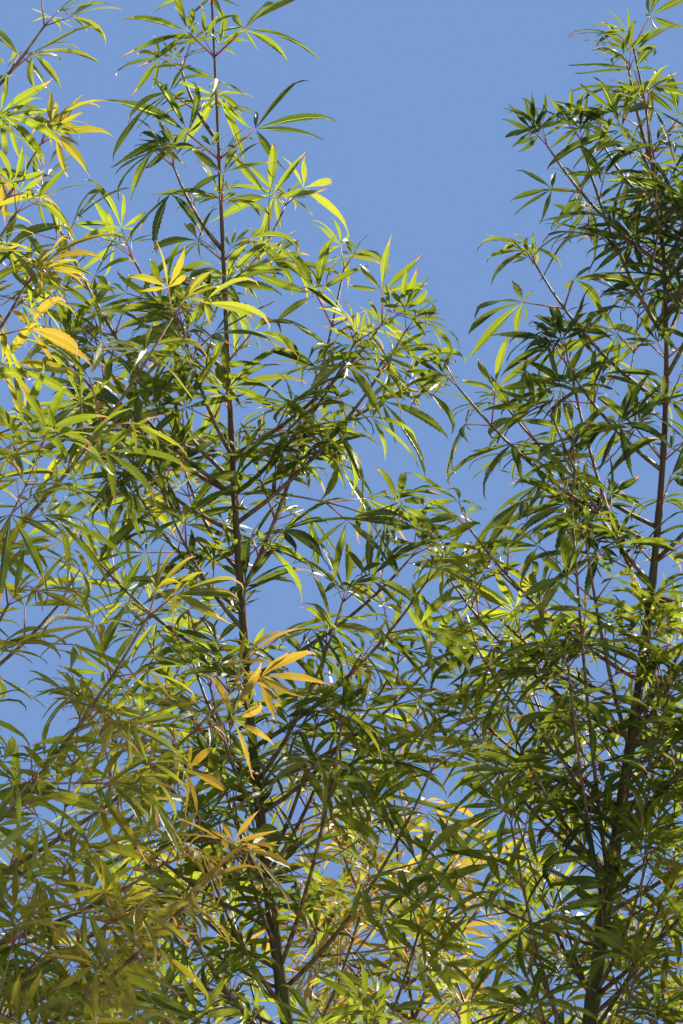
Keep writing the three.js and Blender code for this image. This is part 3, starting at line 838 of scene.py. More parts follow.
limb_faces = 0
for name, limb in LIMBS.items():
    parent = LIMBS.get(limb.get("on"))
    collar_length = COLLAR_LENGTH * parent["radii"][0] if parent else 0
    piece = swept(
        f"{name}_bark", limb["curve"], limb["radii"], LIMB_TAPER, collar_length, LIMB_BARK)
    dress(piece, name)
    limb_faces += len(piece.data.polygons)
print(len(LIMBS), "limbs with bark,", limb_faces, "faces")

# %% [markdown]
# The trunk is an upright cylinder that bows a little, flares over its roots and rounds off at the
# fork. It is added as a primitive, cut into rings, and its rings are moved by the same formula as
# the solid's. A trunk that ends in three separate tubes looks assembled, so three short stubs are
# grown out of it along the limbs, and a voxel remesh melts them into one fork. The cut faces the
# ground, so it is flattened again afterwards. Last, a Displace stretched upward gives the furrows.

# %% The trunk
FORK_HEIGHT = 0.43
TRUNK_RADIUS = 0.047
TRUNK_TOP_RADIUS = 0.033
ROOT_FLARE = 0.025
ROOT_FLARE_HEIGHT = 0.07
ROOT_RIDGES = 5
ROOT_RIDGE_DEPTH = 0.3
TRUNK_BOW = (0.014, -0.008)
SHOULDER = 0.85
TRUNK_SIDES = 64
TRUNK_CUTS = 60


def select_points(mesh, chosen):
    edit = bmesh.from_edit_mesh(mesh)
    for vertex in edit.verts:
        vertex.select = bool(chosen(vertex.co))
    edit.select_flush(True)
    edit.select_flush(False)
    bmesh.update_edit_mesh(mesh)


def select_edges(mesh, chosen):
    edit = bmesh.from_edit_mesh(mesh)
    for edge in edit.edges:
        edge.select = bool(chosen(edge, [vertex.co for vertex in edge.verts]))
    bmesh.update_edit_mesh(mesh)


def place_on_trunk(point):
    share = point.z / FORK_HEIGHT
    angle = np.arctan2(point.y, point.x)
    ridges = 1 + ROOT_RIDGE_DEPTH * np.cos(ROOT_RIDGES * angle)
    flare = ROOT_FLARE * ridges * np.exp(-point.z / ROOT_FLARE_HEIGHT)
    rounding = max(0, share - SHOULDER) / (1 - SHOULDER)
    radius = TRUNK_RADIUS + (TRUNK_TOP_RADIUS - TRUNK_RADIUS) * rounding + flare
    bow = share * (1 - share)
    return (
        radius * np.cos(angle) + TRUNK_BOW[0] * bow,
        radius * np.sin(angle) + TRUNK_BOW[1] * bow,
        point.z,
    )


bpy.ops.object.select_all(action="DESELECT")
bpy.ops.mesh.primitive_cylinder_add(
    vertices=TRUNK_SIDES, radius=1, depth=FORK_HEIGHT, location=(0, 0, FORK_HEIGHT / 2))
trunk = bpy.context.object
trunk.name = "trunk_bark"
trunk.data.name = "trunk_bark"
bpy.ops.object.transform_apply(location=True, rotation=True, scale=True)
bpy.ops.object.mode_set(mode="EDIT")
select_edges(trunk.data, lambda edge, ends: abs(ends[0].z - ends[1].z) > FORK_HEIGHT / 2)
bpy.ops.mesh.subdivide_edgering(number_cuts=TRUNK_CUTS)
bpy.ops.object.mode_set(mode="OBJECT")
for vertex in trunk.data.vertices:
    vertex.co = place_on_trunk(vertex.co)
print("trunk:", len(trunk.data.vertices), "points before the fork is melted on")

# %% The fork
STUB_SHARE = 0.2
STUB_RINGS = 60
STUB_WIDTHS = (0.55, 0.75)  # how wide a stub ends, and how much wider it starts, in limb radii
BEYOND_STUB = 0.001
FORK_VOXEL = 0.0042


def add_stub(limb):
    handles = limb["curve"]
    start, end = limb["radii"]

    def radius_of(ring, _):
        share = ring / STUB_RINGS
        closing = max(0.0, 1 - (share / STUB_SHARE) ** 2)
        width = STUB_WIDTHS[0] + STUB_WIDTHS[1] * closing
        return (start + (end - start) * share) * width if closing else BEYOND_STUB

    stub = thick_curve("stub", handles, STUB_RINGS, radius_of, roundness=6)
    bpy.ops.object.mode_set(mode="EDIT")
    cut = along(handles, STUB_SHARE)[0][2]
    select_points(stub.data, lambda point: point.z > cut)
    bpy.ops.mesh.delete(type="VERT")
    select_edges(stub.data, lambda edge, ends: edge.is_boundary)
    bpy.ops.mesh.edge_face_add()
    bpy.ops.object.mode_set(mode="OBJECT")
    return stub


stubs = [add_stub(LIMBS[name]) for name in ("limb_left", "limb_right", "limb_back")]
select_only(trunk, *stubs)
bpy.ops.object.join()
melt = trunk.modifiers.new("melt", "REMESH")
melt.mode = "VOXEL"
melt.voxel_size = FORK_VOXEL
bpy.ops.object.modifier_apply(modifier=melt.name)
soften = trunk.modifiers.new("soften", "SMOOTH")
soften.iterations = 6
bpy.ops.object.modifier_apply(modifier=soften.name)
print("trunk and fork:", len(trunk.data.polygons), "faces")

# %% The furrows of the trunk
GROUND_BAND = 0.003
GRAIN_STRETCH = 7

bpy.ops.object.empty_add(location=(0, 0, 0))
grain = bpy.context.object
grain.scale = (1, 1, GRAIN_STRETCH)
bpy.context.view_layer.update()
furrows = bpy.data.textures.new("trunk_furrows", "CLOUDS")
furrows.noise_scale = 0.016
furrows.noise_depth = 4
select_only(trunk)
displace(trunk, furrows, strength=0.006, mid_level=0.6, stretched_by=grain)
bpy.data.objects.remove(grain)
for vertex in trunk.data.vertices:
    vertex.co.z = 0 if vertex.co.z < GROUND_BAND else vertex.co.z
trunk.data.materials.clear()
trunk.data.materials.append(TRUNK_BARK)
bpy.ops.object.shade_smooth()
dress(trunk, "trunk")
print("the trunk's width in metres:", round(trunk.dimensions.x, 3), "at its roots")

# %% [markdown]
# The leaf of this maple is a hand of five narrow fingers, each like a willow leaf, with a long
# curling tip, and often two tiny ones beside the stalk. One finger is modelled from a grid of two
# columns: each row is scaled to the finger's width there and moved to its place, the first and last
# rows are merged to a point, and the middle column is pushed down for the midrib. The midrib is
# then split, so that the two halves of the finger catch the light apart, as on the real leaf.
# A rounder finger would cost more faces, and there will be thousands of leaves. For the masses far
# from the camera, five rows are enough.

# %% One finger of a leaf
FINGER_ROWS = [  # place along the finger, and half its width there, as shares of its length
    (0.0, 0.0),
    (0.16, 0.023),
    (0.37, 0.066),
    (0.58, 0.062),
    (0.78, 0.030),
    (0.91, 0.011),
    (1.0, 0.0),
]
FAR_ROWS = [(0.0, 0.0), (0.22, 0.036), (0.52, 0.068), (0.8, 0.026), (1.0, 0.0)]
MIDRIB_DEPTH = 0.018
THINNEST = 0.001
BLADE, TIP, STALK, RIB = 0, 1, 2, 3
TIP_START = 0.8
NEAR = 0.01  # a point this near to a row's height belongs to the row
CENTRED = 1e-3
ON_MIDRIB = 1e-4
MIDRIB_SPAN = (0.01, 0.95)
WAITING = 10  # how far above the finished rows the others wait


def merge_ends(mesh):
    for end in (0, 1):
        select_points(mesh, lambda point: abs(point.y - end) < NEAR)
        bpy.ops.mesh.merge(type="CENTER")


def on_midrib(point):
    return abs(point.x) < ON_MIDRIB and MIDRIB_SPAN[0] < point.y < MIDRIB_SPAN[1]


def add_finger(rows):
    """A finger 1 long along y, left in edit mode with its two halves split at the midrib."""
    bpy.ops.object.select_all(action="DESELECT")
    bpy.ops.mesh.primitive_grid_add(x_subdivisions=2, y_subdivisions=len(rows) - 1, size=1)
    mesh = bpy.context.object.data
    bpy.ops.object.mode_set(mode="EDIT")
    bpy.ops.transform.translate(value=(0, 0.5, WAITING))
    for row, (share, half_width) in enumerate(rows):
        height = row / (len(rows) - 1)
        select_points(
            mesh, lambda point: abs(point.y - height) < NEAR and point.z > WAITING / 2)
        bpy.ops.transform.resize(value=(2 * max(half_width, THINNEST), 1, 1))
        bpy.ops.transform.translate(value=(0, share - height, -WAITING))
    merge_ends(mesh)
    select_points(mesh, on_midrib)
    bpy.ops.transform.translate(value=(0, 0, -MIDRIB_DEPTH))
    select_edges(mesh, lambda edge, ends: all(abs(end.x) < ON_MIDRIB for end in ends))
    bpy.ops.mesh.edge_split(type="EDGE")
    merge_ends(mesh)
    return mesh


def part_of(polygon):
    if abs(polygon.center.x) < CENTRED:
        return RIB
    return TIP if polygon.center.y > TIP_START else BLADE


def taken(mesh):
    """Leaves edit mode, keeps the finger as arrays and removes its object."""
    bpy.ops.object.mode_set(mode="OBJECT")
    arrays = dict(
        points=vertices_of(mesh),
        corners=np.array([corner.vertex_index for corner in mesh.loops]),
        sizes=np.array([polygon.loop_total for polygon in mesh.polygons]),
        parts=[part_of(polygon) for polygon in mesh.polygons],
    )
    bpy.data.objects.remove(bpy.context.object)
    print("a finger of", len(arrays["points"]), "points and", len(arrays["sizes"]), "faces")
    return arrays


PLAIN_FINGER = taken(add_finger(FINGER_ROWS))
FAR_FINGER = taken(add_finger(FAR_ROWS))

# %% [markdown]
# The large leaves nearest the camera get a third finger, because the photograph shows the saw
# teeth and the pale rib of theirs. The outer edges are subdivided, and every other new point is
# pulled out and forward, which makes the teeth. The split midrib is opened a little and filled with
# one long face, which makes the rib. An image could show both at less cost, but not in the leaf's
# outline.

# %% The finger with teeth and a rib
RIB_HALF_WIDTH = 0.0045
RIB_TAPER = 0.7
RIB_EDGE = 0.006
TEETH_A_PANEL = 3
TOOTH = (0.011, 0.024)  # outward and forward, as shares of the finger's length
TOOTHED_ROWS = FINGER_ROWS[1:-2]
ROOM_FOR_TEETH = 0.82


def cut_teeth(mesh):
    low_end, high_end = TOOTHED_ROWS[0][0] - NEAR, TOOTHED_ROWS[-1][0] + NEAR
    bpy.ops.mesh.select_all(action="SELECT")
    bpy.ops.transform.resize(value=(ROOM_FOR_TEETH, 1, 1))
    select_edges(mesh, lambda edge, ends: ends[0].x * ends[1].x > NEAR**2 and all(
        low_end < end.y < high_end for end in ends))
    bpy.ops.mesh.subdivide(number_cuts=2 * TEETH_A_PANEL - 1, ngon=True)
    edit = bmesh.from_edit_mesh(mesh)
    for (low, _), (high, _) in zip(TOOTHED_ROWS, TOOTHED_ROWS[1:]):
        for tooth in range(TEETH_A_PANEL):
            height = low + (high - low) * (2 * tooth + 1) / (2 * TEETH_A_PANEL)
            for vertex in edit.verts:
                if abs(vertex.co.y - height) < NEAR / 2 and abs(vertex.co.x) > NEAR:
                    vertex.co.x += np.sign(vertex.co.x) * TOOTH[0]
                    vertex.co.y += TOOTH[1]
    bmesh.update_edit_mesh(mesh)


def lay_rib(mesh):
    edit = bmesh.from_edit_mesh(mesh)
    for vertex in edit.verts:
        if on_midrib(vertex.co):
            aside = np.sign(np.mean([face.calc_center_median().x for face in vertex.link_faces]))
            vertex.co.x = aside * RIB_HALF_WIDTH * (1 - RIB_TAPER * vertex.co.y)
    bmesh.update_edit_mesh(mesh)
    select_edges(
        mesh, lambda edge, ends: edge.is_boundary and all(abs(end.x) < RIB_EDGE for end in ends))
    bpy.ops.mesh.edge_face_add()


finger_mesh = add_finger(FINGER_ROWS)
cut_teeth(finger_mesh)
lay_rib(finger_mesh)
TOOTHED_FINGER = taken(finger_mesh)

# %% [markdown]
# A whole leaf is the finger repeated at five angles round one hub, on a thin pink stalk. No two
# real leaves hang alike, so a few kinds are made, each with fingers that differ in length, curl and
# droop, and with the blade bent off its stalk at another angle. All three fingers give the same
# kinds. They are kept as arrays of points and faces, because thousands of leaves are quicker to
# place with arithmetic than as objects. A leaf's stalk starts at the origin and runs along y, and
# its blade bends towards minus z.

# %% A finger bent by chance
LEAF_LENGTH = 0.094
HOOK = 7  # the higher, the nearer its tip a finger hooks
BENDS = 32
FINGER_WIDTHS = (0.8, 1.06)
FALL = ((-0.1, 0.8), (-0.5, 2.2))
STRAY = ((-0.36, 0.36), (-1.2, 1.2))
TWIST = (-1, 1)
FINGER_LENGTHS = (0.85, 1.1)
FINGER_LIFT = (-0.3, 0.22)
FAN_SPREAD = (-9, 9)


def stream(seed):
    """A repeatable stream of numbers from 0 to 1, the same as the solids were grown by."""
    state = seed
    while True:
        state = (state * 1664525 + 1013904223) % 2**32
        yield state / 2**32


def between(dice, low, high):
    return low + (high - low) * next(dice)


def turned(points, angle, axis):
    cosine, sine = np.cos(angle), np.sin(angle)
    first, second = [(1, 2), (2, 0), (0, 1)][axis]
    result = points.copy()
    result[:, first] = points[:, first] * cosine - points[:, second] * sine
    result[:, second] = points[:, first] * sine + points[:, second] * cosine
    return result


def curled(points, fall, stray, twist):
    """Bends a finger. Fall and stray each hold a turn along it and a further turn at its tip."""
    def directions(shares):
        down = fall[0] * shares + fall[1] * shares**HOOK
        aside = stray[0] * shares + stray[1] * shares**HOOK
        right, ahead = np.sin(aside), np.cos(aside)
        forward = np.stack([right * np.cos(down), ahead * np.cos(down), -np.sin(down)], axis=1)
        return forward, np.stack([ahead, -right, 0 * aside], axis=1)

    steps = np.linspace(0, 1, BENDS + 1)
    forward, _ = directions(steps)
    line = np.cumsum(np.vstack([np.zeros(3), (forward[1:] + forward[:-1]) / (2 * BENDS)]), axis=0)
    share = points[:, 1]
    middle = np.stack([np.interp(share, steps, line[:, axis]) for axis in range(3)], axis=1)
    forward, across = directions(share)
    above = np.cross(across, forward)
    turn = twist * share[:, None]
    side = np.cos(turn) * across + np.sin(turn) * above
    face = np.cos(turn) * above - np.sin(turn) * across
    return middle + points[:, :1] * side + points[:, 2:] * face


def shaped_finger(dice, finger, angle, length):
    points = finger["points"] * (between(dice, *FINGER_WIDTHS), 1, 1)
    fall = [between(dice, *limits) for limits in FALL]
    stray = [between(dice, *limits) for limits in STRAY]
    size = LEAF_LENGTH * length * between(dice, *FINGER_LENGTHS)
    points = size * curled(points, fall, stray, between(dice, *TWIST))
    points = turned(points, between(dice, *FINGER_LIFT), 0)
    return turned(points, -np.radians(angle + between(dice, *FAN_SPREAD)), 2)


print("the middle finger is", LEAF_LENGTH, "m long, before chance changes it")

# %% The kinds of leaf
KINDS = 12
FINGERS = [  # angle from the middle finger in degrees, and length as a share of the middle one's
    (0, 1.0),
    (38, 0.93),
    (-38, 0.93),
    (78, 0.72),
    (-78, 0.72),
]
TINY_FINGERS = [(116, 0.3), (-116, 0.3)]
TINY_FINGERS_EVERY = 4
STALK_LENGTH = 0.042
STALK_LENGTHS = (0.75, 1.2)
STALK_RADII = (0.0013, 0.0009)
STALK_FOOT = (0, -0.002, 0)
STALK_MIDDLE = np.array([0, 0.6, 0.1])
STALK_END = np.array([0, 1, -0.12])
BEND_DOWN = (8, 68)
FIRST_KIND_SEED = 7001
KIND_SEED_STEP = 53


def joined(arrays):
    return [np.concatenate(column) for column in zip(*arrays)]


def tube(handles, radii, sides, rings):
    shares = np.linspace(0, 1, rings + 1)
    centres = along(handles, shares)
    tangents = unit(along(np.diff(handles, axis=0), shares))
    reference = np.eye(3)[np.abs(handles[-1] - handles[0]).argmin()]
    side = unit(np.cross(reference, tangents))
    front = np.cross(tangents, side)
    angles = 2 * np.pi * np.arange(sides) / sides
    radius = (radii[0] + (radii[1] - radii[0]) * shares)[:, None, None]
    circle = np.cos(angles)[:, None] * side[:, None] + np.sin(angles)[:, None] * front[:, None]
    points = (centres[:, None] + radius * circle).reshape(-1, 3)
    here = (np.arange(rings)[:, None] * sides + np.arange(sides)).ravel()
    following = (np.arange(rings)[:, None] * sides + (np.arange(sides) + 1) % sides).ravel()
    walls = np.stack([here, following, following + sides, here + sides], axis=1)
    foot = np.arange(sides)[::-1]
    tip = rings * sides + np.arange(sides)
    corners = np.concatenate([walls.ravel(), foot, tip])
    return points, corners, np.array([4] * len(walls) + [sides, sides])


def leaf_kind(number, finger):
    dice = stream(FIRST_KIND_SEED + KIND_SEED_STEP * number)
    rows = [(finger, *row) for row in FINGERS]
    if number % TINY_FINGERS_EVERY == 0:
        rows += [(FAR_FINGER, *row) for row in TINY_FINGERS]
    bend_down = np.radians(between(dice, *BEND_DOWN))
    stalk_length = STALK_LENGTH * between(dice, *STALK_LENGTHS)
    hub = STALK_END * stalk_length
    stalk_line = np.array([STALK_FOOT, STALK_MIDDLE * stalk_length, hub])
    stalk, corners, sizes = tube(stalk_line, STALK_RADII, sides=3, rings=1)
    arrays = [(stalk, corners, sizes, [STALK] * len(sizes))]
    count = len(stalk)
    for shape, angle, length in rows:
        points = turned(shaped_finger(dice, shape, angle, length), -bend_down, 0) + hub
        arrays.append((points, shape["corners"] + count, shape["sizes"], shape["parts"]))
        count += len(points)
    points, corners, sizes, parts = joined(arrays)
    return dict(
        points=points, corners=corners, sizes=sizes, parts=parts, hub=hub, stalk_points=len(stalk))


KINDS_BY_FINGER = {
    "far": [leaf_kind(number, FAR_FINGER) for number in range(KINDS)],
    "plain": [leaf_kind(number, PLAIN_FINGER) for number in range(KINDS)],
    "toothed": [leaf_kind(number, TOOTHED_FINGER) for number in range(KINDS)],
}
for label, kinds in KINDS_BY_FINGER.items():
    faces = sorted({len(kind["sizes"]) for kind in kinds})
    print(KINDS, label, "kinds of leaf, of", faces, "faces")

# %% [markdown]
# Leaves turn from deep green through fresh green and lime to gold, spray by spray, and their tips
# go rust brown first. The scale also carries painted light: its lime partly stands for the glow of
# leaves with the sun behind them, and its deep green partly for leaves in shade. Each of these is a
# plain colour of its own, and each leaf takes one of them.
# The sun shines through such a thin leaf, so its material mixes a glossy surface with light that
# passes through and comes out yellower. A little mottling keeps the colour from looking printed.

# %% Leaf materials
THROUGH = 0.5
DARKER = 0.72
LIGHTER = 1.25
LEAF_SHINE = 0.4
LEAF_RELIEF = 0.35
LEAF_COLOURS = [  # name, surface colour, colour of the light that comes through
    # The deep green is partly painted shade, and the lime partly the painted glow of leaves with
    # the sun behind them.
    ("deep_green_leaf_and_painted_shade", (0.017, 0.030, 0.005), (0.080, 0.112, 0.008)),
    ("green_leaf", (0.036, 0.054, 0.008), (0.175, 0.212, 0.012)),
    ("fresh_green_leaf", (0.072, 0.098, 0.010), (0.270, 0.312, 0.016)),
    ("lime_leaf_and_painted_glow", (0.130, 0.145, 0.015), (0.360, 0.365, 0.022)),
    ("yellow_leaf", (0.190, 0.162, 0.016), (0.400, 0.335, 0.024)),
    ("gold_leaf", (0.240, 0.152, 0.020), (0.430, 0.280, 0.028)),
]
OTHER_COLOURS = [
    ("brown_leaf_tip", (0.30, 0.17, 0.065), (0.55, 0.30, 0.09)),
    ("pink_leaf_stalk", (0.40, 0.20, 0.15), (0.5, 0.25, 0.17)),
    ("pale_leaf_rib", (0.20, 0.25, 0.06), (0.42, 0.50, 0.10)),
]
RUST, PINK, PALE = range(len(LEAF_COLOURS), len(LEAF_COLOURS + OTHER_COLOURS))


def leaf_mottle():
    group, given = new_group("leaf_mottle", Size=90.0)
    here = object_place(group)
    broad = noise_in(group, here, given["Size"], detail=2.0)
    fine = noise_in(group, here, maths(group, "MULTIPLY", given["Size"], 7.0), detail=2.0)
    return give_out(group, Light=broad, Grain=fine)


LEAF_MOTTLE = leaf_mottle()


def leaf_material(name, surface, through):
    material, tree, shader = new_material(name)
    mottle = group_in(tree, LEAF_MOTTLE, Size=90.0)
    darker, lighter = [tuple(by * value for value in surface) for by in (DARKER, LIGHTER)]
    colour = ramp(tree, mottle["Light"], [(0.35, darker), (0.65, lighter)])
    roughness = ramp(tree, mottle["Light"], [(0.3, grey(0.52)), (0.7, grey(0.42))])
    finish(
        tree, shader, colour, roughness, LEAF_SHINE, mottle["Grain"], LEAF_RELIEF, STREAK_RELIEF)
    glow = wire(tree, "ShaderNodeBsdfTranslucent", Color=(*through, 1))
    both = wire(tree, "ShaderNodeMixShader", i0=THROUGH, i1=shader.outputs[0], i2=glow.outputs[0])
    output = tree.nodes["Material Output"]
    tree.links.new(both.outputs[0], output.inputs["Surface"])
    return material


LEAF_MATERIALS = [leaf_material(*row) for row in LEAF_COLOURS + OTHER_COLOURS]
print(len(LEAF_MATERIALS), "leaf materials")

# %% [markdown]
# The twigs of this year are thin and brown, and the finest are a pinkish tan. They are a few
# millimetres thick, so a smooth tapering tube and two plain finishes with fine pale specks do.

# %% Twig materials
def twig_material(name, dark, light):
    def twig_look(tree):
        mottle = group_in(tree, LEAF_MOTTLE, Size=160.0)
        colour = ramp(tree, mottle["Light"], [(0.35, dark), (0.68, light)])
        roughness = ramp(tree, mottle["Grain"], [(0.3, grey(0.6)), (0.7, grey(0.78))])
        return colour, roughness, mottle["Grain"]

    return finished_bark(name, twig_look, STEM_RELIEF)


TWIG_MATERIALS = [
    twig_material("brown_twig_bark", (0.105, 0.066, 0.032), (0.28, 0.200, 0.100)),
    twig_material("tan_twig_bark", (0.22, 0.135, 0.070), (0.44, 0.310, 0.180)),
]
print(len(TWIG_MATERIALS), "twig materials")

# %% [markdown]
# Now the growing. The first side shoots are the solids' own: the same stream of numbers, the same
# rule for how they lean and how long they are, and the same test that keeps each one in its mass's
# own space. A shoot that finds no room is shortened until it does. Because the rule is the same,
# the fine foliage fills just the room that the solids hold.

# %% Room for a shoot
SHORTEST_SHOOT = 0.09
SHRINK = 0.8
SHOOT_ELBOW = np.array([0.6, 0.6, 0.35])
SHOOT_SHARES = (0.4, 0.7, 1)
SPACE_GAP = 0.04
LIMB_CLEARANCE = 0.009


def distances(lines, points):
    starts = lines[None, :, :-1]
    spans = np.diff(lines, axis=1)[None]
    offsets = points[:, None, None] - starts
    shares = np.clip((offsets * spans).sum(-1) / (spans**2).sum(-1), 0, 1)
    return np.linalg.norm(offsets - shares[..., None] * spans, axis=-1).min(-1)


def room_at(number, points):
    by_reach = distances(MASS_LINES, points) / REACHES
    own = by_reach[:, number]
    others = np.delete(by_reach, number, axis=1).min(axis=1)
    return np.minimum(1 - own, others - own - SPACE_GAP)


def clear_of_limbs(points, clearance=LIMB_CLEARANCE):
    return (distances(LIMB_LINES, points) > LIMB_RADII + clearance).all(axis=1)


def square_to(tangent, reference):
    side = unit(np.cross(reference, tangent))
    return side, np.cross(tangent, side)


def shoot_curve(root, way):
    return np.array([root, root + way * SHOOT_ELBOW, root + way])


def fitted_shoot(number, root, way, shortest=SHORTEST_SHOOT):
    while np.linalg.norm(way) > shortest:
        curve = shoot_curve(root, way)
        samples = along(curve, SHOOT_SHARES)
        if (room_at(number, samples) > 0).all() and clear_of_limbs(samples).all():
            return curve
        way = way * SHRINK
    return None


print("a shoot is shortened by", round(1 - SHRINK, 2), "until it has room, or left out")

# %% The rule of the side shoots
SHOOT_LEAN = 52
LEAN_SPREAD = 16
TURN_SPREAD = 0.5
LENGTH_SPREAD = (0.8, 1.1)
LOWEST_SHOOT = 0.92
HIGHEST_SHOOT = 0.12
SHOOT_FALL = 0.7
NODE_STEP = 0.26
FEWEST_NODES = 3
FIRST_NODE = 0.1
LAST_NODE = 0.76
HALVINGS = 20


def share_at_height(curve, height):
    low, high = 0.0, 1.0
    for _ in range(HALVINGS):
        middle = (low + high) / 2
        if along(curve, middle)[0][2] < height:
            low = middle
        else:
            high = middle
    return low


def placed_shoots(mass, rows):
    for height, way in rows:
        yield along(mass["curve"], share_at_height(mass["curve"], height))[0], np.array(way)


def paired_shoots(
        mass, dice, nodes, first=FIRST_NODE, last=LAST_NODE, shorter=1.0, leaning=SHOOT_LEAN):
    first_turn = next(dice) * np.pi
    for node in range(nodes):
        share = first + (last - first) * node / (nodes - 1)
        tangent = heading_at(mass["curve"], share)
        side, front = square_to(tangent, (0, 1, 0))
        for half in (0, np.pi):
            turn = first_turn + node * np.pi / 2 + half + (next(dice) - 0.5) * TURN_SPREAD
            lean = np.radians(leaning + (next(dice) - 0.5) * LEAN_SPREAD)
            length = mass["reach"] * (LOWEST_SHOOT * (1 - share) ** SHOOT_FALL + HIGHEST_SHOOT)
            length *= between(dice, *LENGTH_SPREAD) * shorter
            sideways = np.cos(turn) * side + np.sin(turn) * front
            way = length * (np.cos(lean) * tangent + np.sin(lean) * sideways)
            yield along(mass["curve"], share)[0], way


def solid_shoots(number, mass):
    if "shoots" in mass:
        rows = placed_shoots(mass, mass["shoots"])
    else:
        nodes = max(FEWEST_NODES, round(length_of(mass["curve"]) / NODE_STEP))
        rows = paired_shoots(mass, stream(mass["seed"]), nodes)
    grown = [fitted_shoot(number, root, way) for root, way in rows]
    return [curve for curve in grown if curve is not None]


shoot_counts = [len(solid_shoots(number, mass)) for number, mass in enumerate(MASSES.values())]
print("side shoots that the solids have:", sum(shoot_counts))

# %% [markdown]
# Between those shoots grow finer ones, and on all of them the twigs and leaves. A maple sets its
# buds in opposite pairs, each pair a quarter turn on from the last. Where a shoot still has a good
# way to go beyond a pair, its buds make twigs, and nearer its tip they make leaves. On the masses
# nearest the camera most buds make a large and a small leaf instead of a twig, because larger
# leaves with sky between them are what the photograph shows there. A leaf's stalk leans off the
# twig, and its blade hangs from the stalk, rolled to one side by chance.

# %% Leaves in pairs
ROLL = np.radians(75)
LEAF_FORWARD = 0.75
LEAF_UPWARD = 0.12
LEAF_SPLAY = 0.8
TIP_SPLAY = 0.55
BUD_SPLAY = 0.4
TIP_BUD_SPLAY = 0.25
TINT_SPREAD = 0.09
PAIR_SPREAD = 0.3
LEAF_SIZES = (0.6, 1.0)
STEM_LEAF_SIZES = np.array([0.8, 1.08])
TIP_LEAF_SIZES = np.array([0.5, 0.85])
BUD_LEAF_SIZES = np.array([0.3, 0.55])


def add_leaf(spray, spot, heading, sideways, sizes, splay=LEAF_SPLAY):
    dice = spray["dice"]
    spray["leaves"].append(dict(
        foot=spot,
        aim=unit(LEAF_FORWARD * heading + splay * sideways + LEAF_UPWARD * UP),
        roll=between(dice, -ROLL, ROLL),
        size=between(dice, *sizes) * spray["leaf_size"],
        kind=int(next(dice) * KINDS),
        tint=spray["tint"] + between(dice, -TINT_SPREAD, TINT_SPREAD),
        dice=next(dice),
    ))


def both_sides(spray, heading, turn):
    side, front = square_to(heading, (0, 1, 0))
    for half in (0, np.pi):
        angle = turn + half + between(spray["dice"], -PAIR_SPREAD, PAIR_SPREAD)
        yield np.cos(angle) * side + np.sin(angle) * front


def leaf_pair(spray, spot, heading, turn, sizes, splay=LEAF_SPLAY):
    for sideways in both_sides(spray, heading, turn):
        add_leaf(spray, spot, heading, sideways, sizes, splay)


def tip_leaves(spray, curve, turn, size=1.0):
    tip = curve[-1]
    heading = heading_at(curve, 1)
    leaf_pair(spray, tip, heading, turn, TIP_LEAF_SIZES * size, TIP_SPLAY)
    leaf_pair(spray, tip, heading, turn + np.pi / 2, BUD_LEAF_SIZES * size, TIP_BUD_SPLAY)


print("leaves hang rolled by up to", round(np.degrees(ROLL)), "degrees")

# %% Twigs and leaves along a shoot
BUD_SPACING = 0.055
TWIG_BUD_SPACING = 0.042
SHORTEST_TWIG = 0.05
LONGEST_TWIG = 0.15
ROOM_FOR_TWIG = 0.11
SHOOT_RADII = (0.0025, 0.0011)
TWIG_RADII = (0.0013, 0.0007)
TWIG_LEAN = (42, 62)
TWIG_SHARE = 0.5
TWIG_LENGTHS = (0.8, 1.2)


def grow_twig(spray, root, way):
    curve = fitted_shoot(spray["number"], root, way, SHORTEST_TWIG)
    if curve is None:
        return False
    spray["twigs"].append((curve, TWIG_RADII, 1))
    length = length_of(curve)
    buds = max(1, round(length / (TWIG_BUD_SPACING * spray["leaf_size"])))
    turn = next(spray["dice"]) * np.pi
    for bud in range(1, buds):
        share = bud / buds
        spot = along(curve, share)[0]
        leaf_pair(spray, spot, heading_at(curve, share), turn + bud * np.pi / 2, LEAF_SIZES)
    tip_leaves(spray, curve, turn + buds * np.pi / 2)
    return True


def grow_shoot(spray, curve):
    dice = spray["dice"]
    spray["twigs"].append((curve, SHOOT_RADII, 0))
    length = length_of(curve)
    buds = max(2, round(length / (BUD_SPACING * spray["leaf_size"])))
    first_turn = next(dice) * np.pi
    whole = spray["tint"]
    for bud in range(1, buds):
        share = bud / buds
        spray["tint"] = whole + spray["tips_turn"] * (share - 0.5)
        spot = along(curve, share)[0]
        heading = heading_at(curve, share)
        turn = first_turn + bud * np.pi / 2
        left = length * (1 - share)
        if left < ROOM_FOR_TWIG:
            leaf_pair(spray, spot, heading, turn, LEAF_SIZES)
            continue
        for sideways in both_sides(spray, heading, turn):
            if next(dice) > spray["twiggy"]:
                add_leaf(spray, spot, heading, sideways, LEAF_SIZES)
                add_leaf(spray, spot, heading, sideways, BUD_LEAF_SIZES, BUD_SPLAY)
                continue
            lean = np.radians(between(dice, *TWIG_LEAN))
            twig_length = TWIG_SHARE * left * between(dice, *TWIG_LENGTHS)
            twig_length = np.clip(twig_length, SHORTEST_TWIG, LONGEST_TWIG)
            way = twig_length * (np.cos(lean) * heading + np.sin(lean) * sideways)
            if not grow_twig(spray, spot, way):
                add_leaf(spray, spot, heading, sideways, LEAF_SIZES)
    tip_leaves(spray, curve, first_turn + buds * np.pi / 2)


print("buds every", BUD_SPACING, "m on a shoot and every", TWIG_BUD_SPACING, "m on a twig")

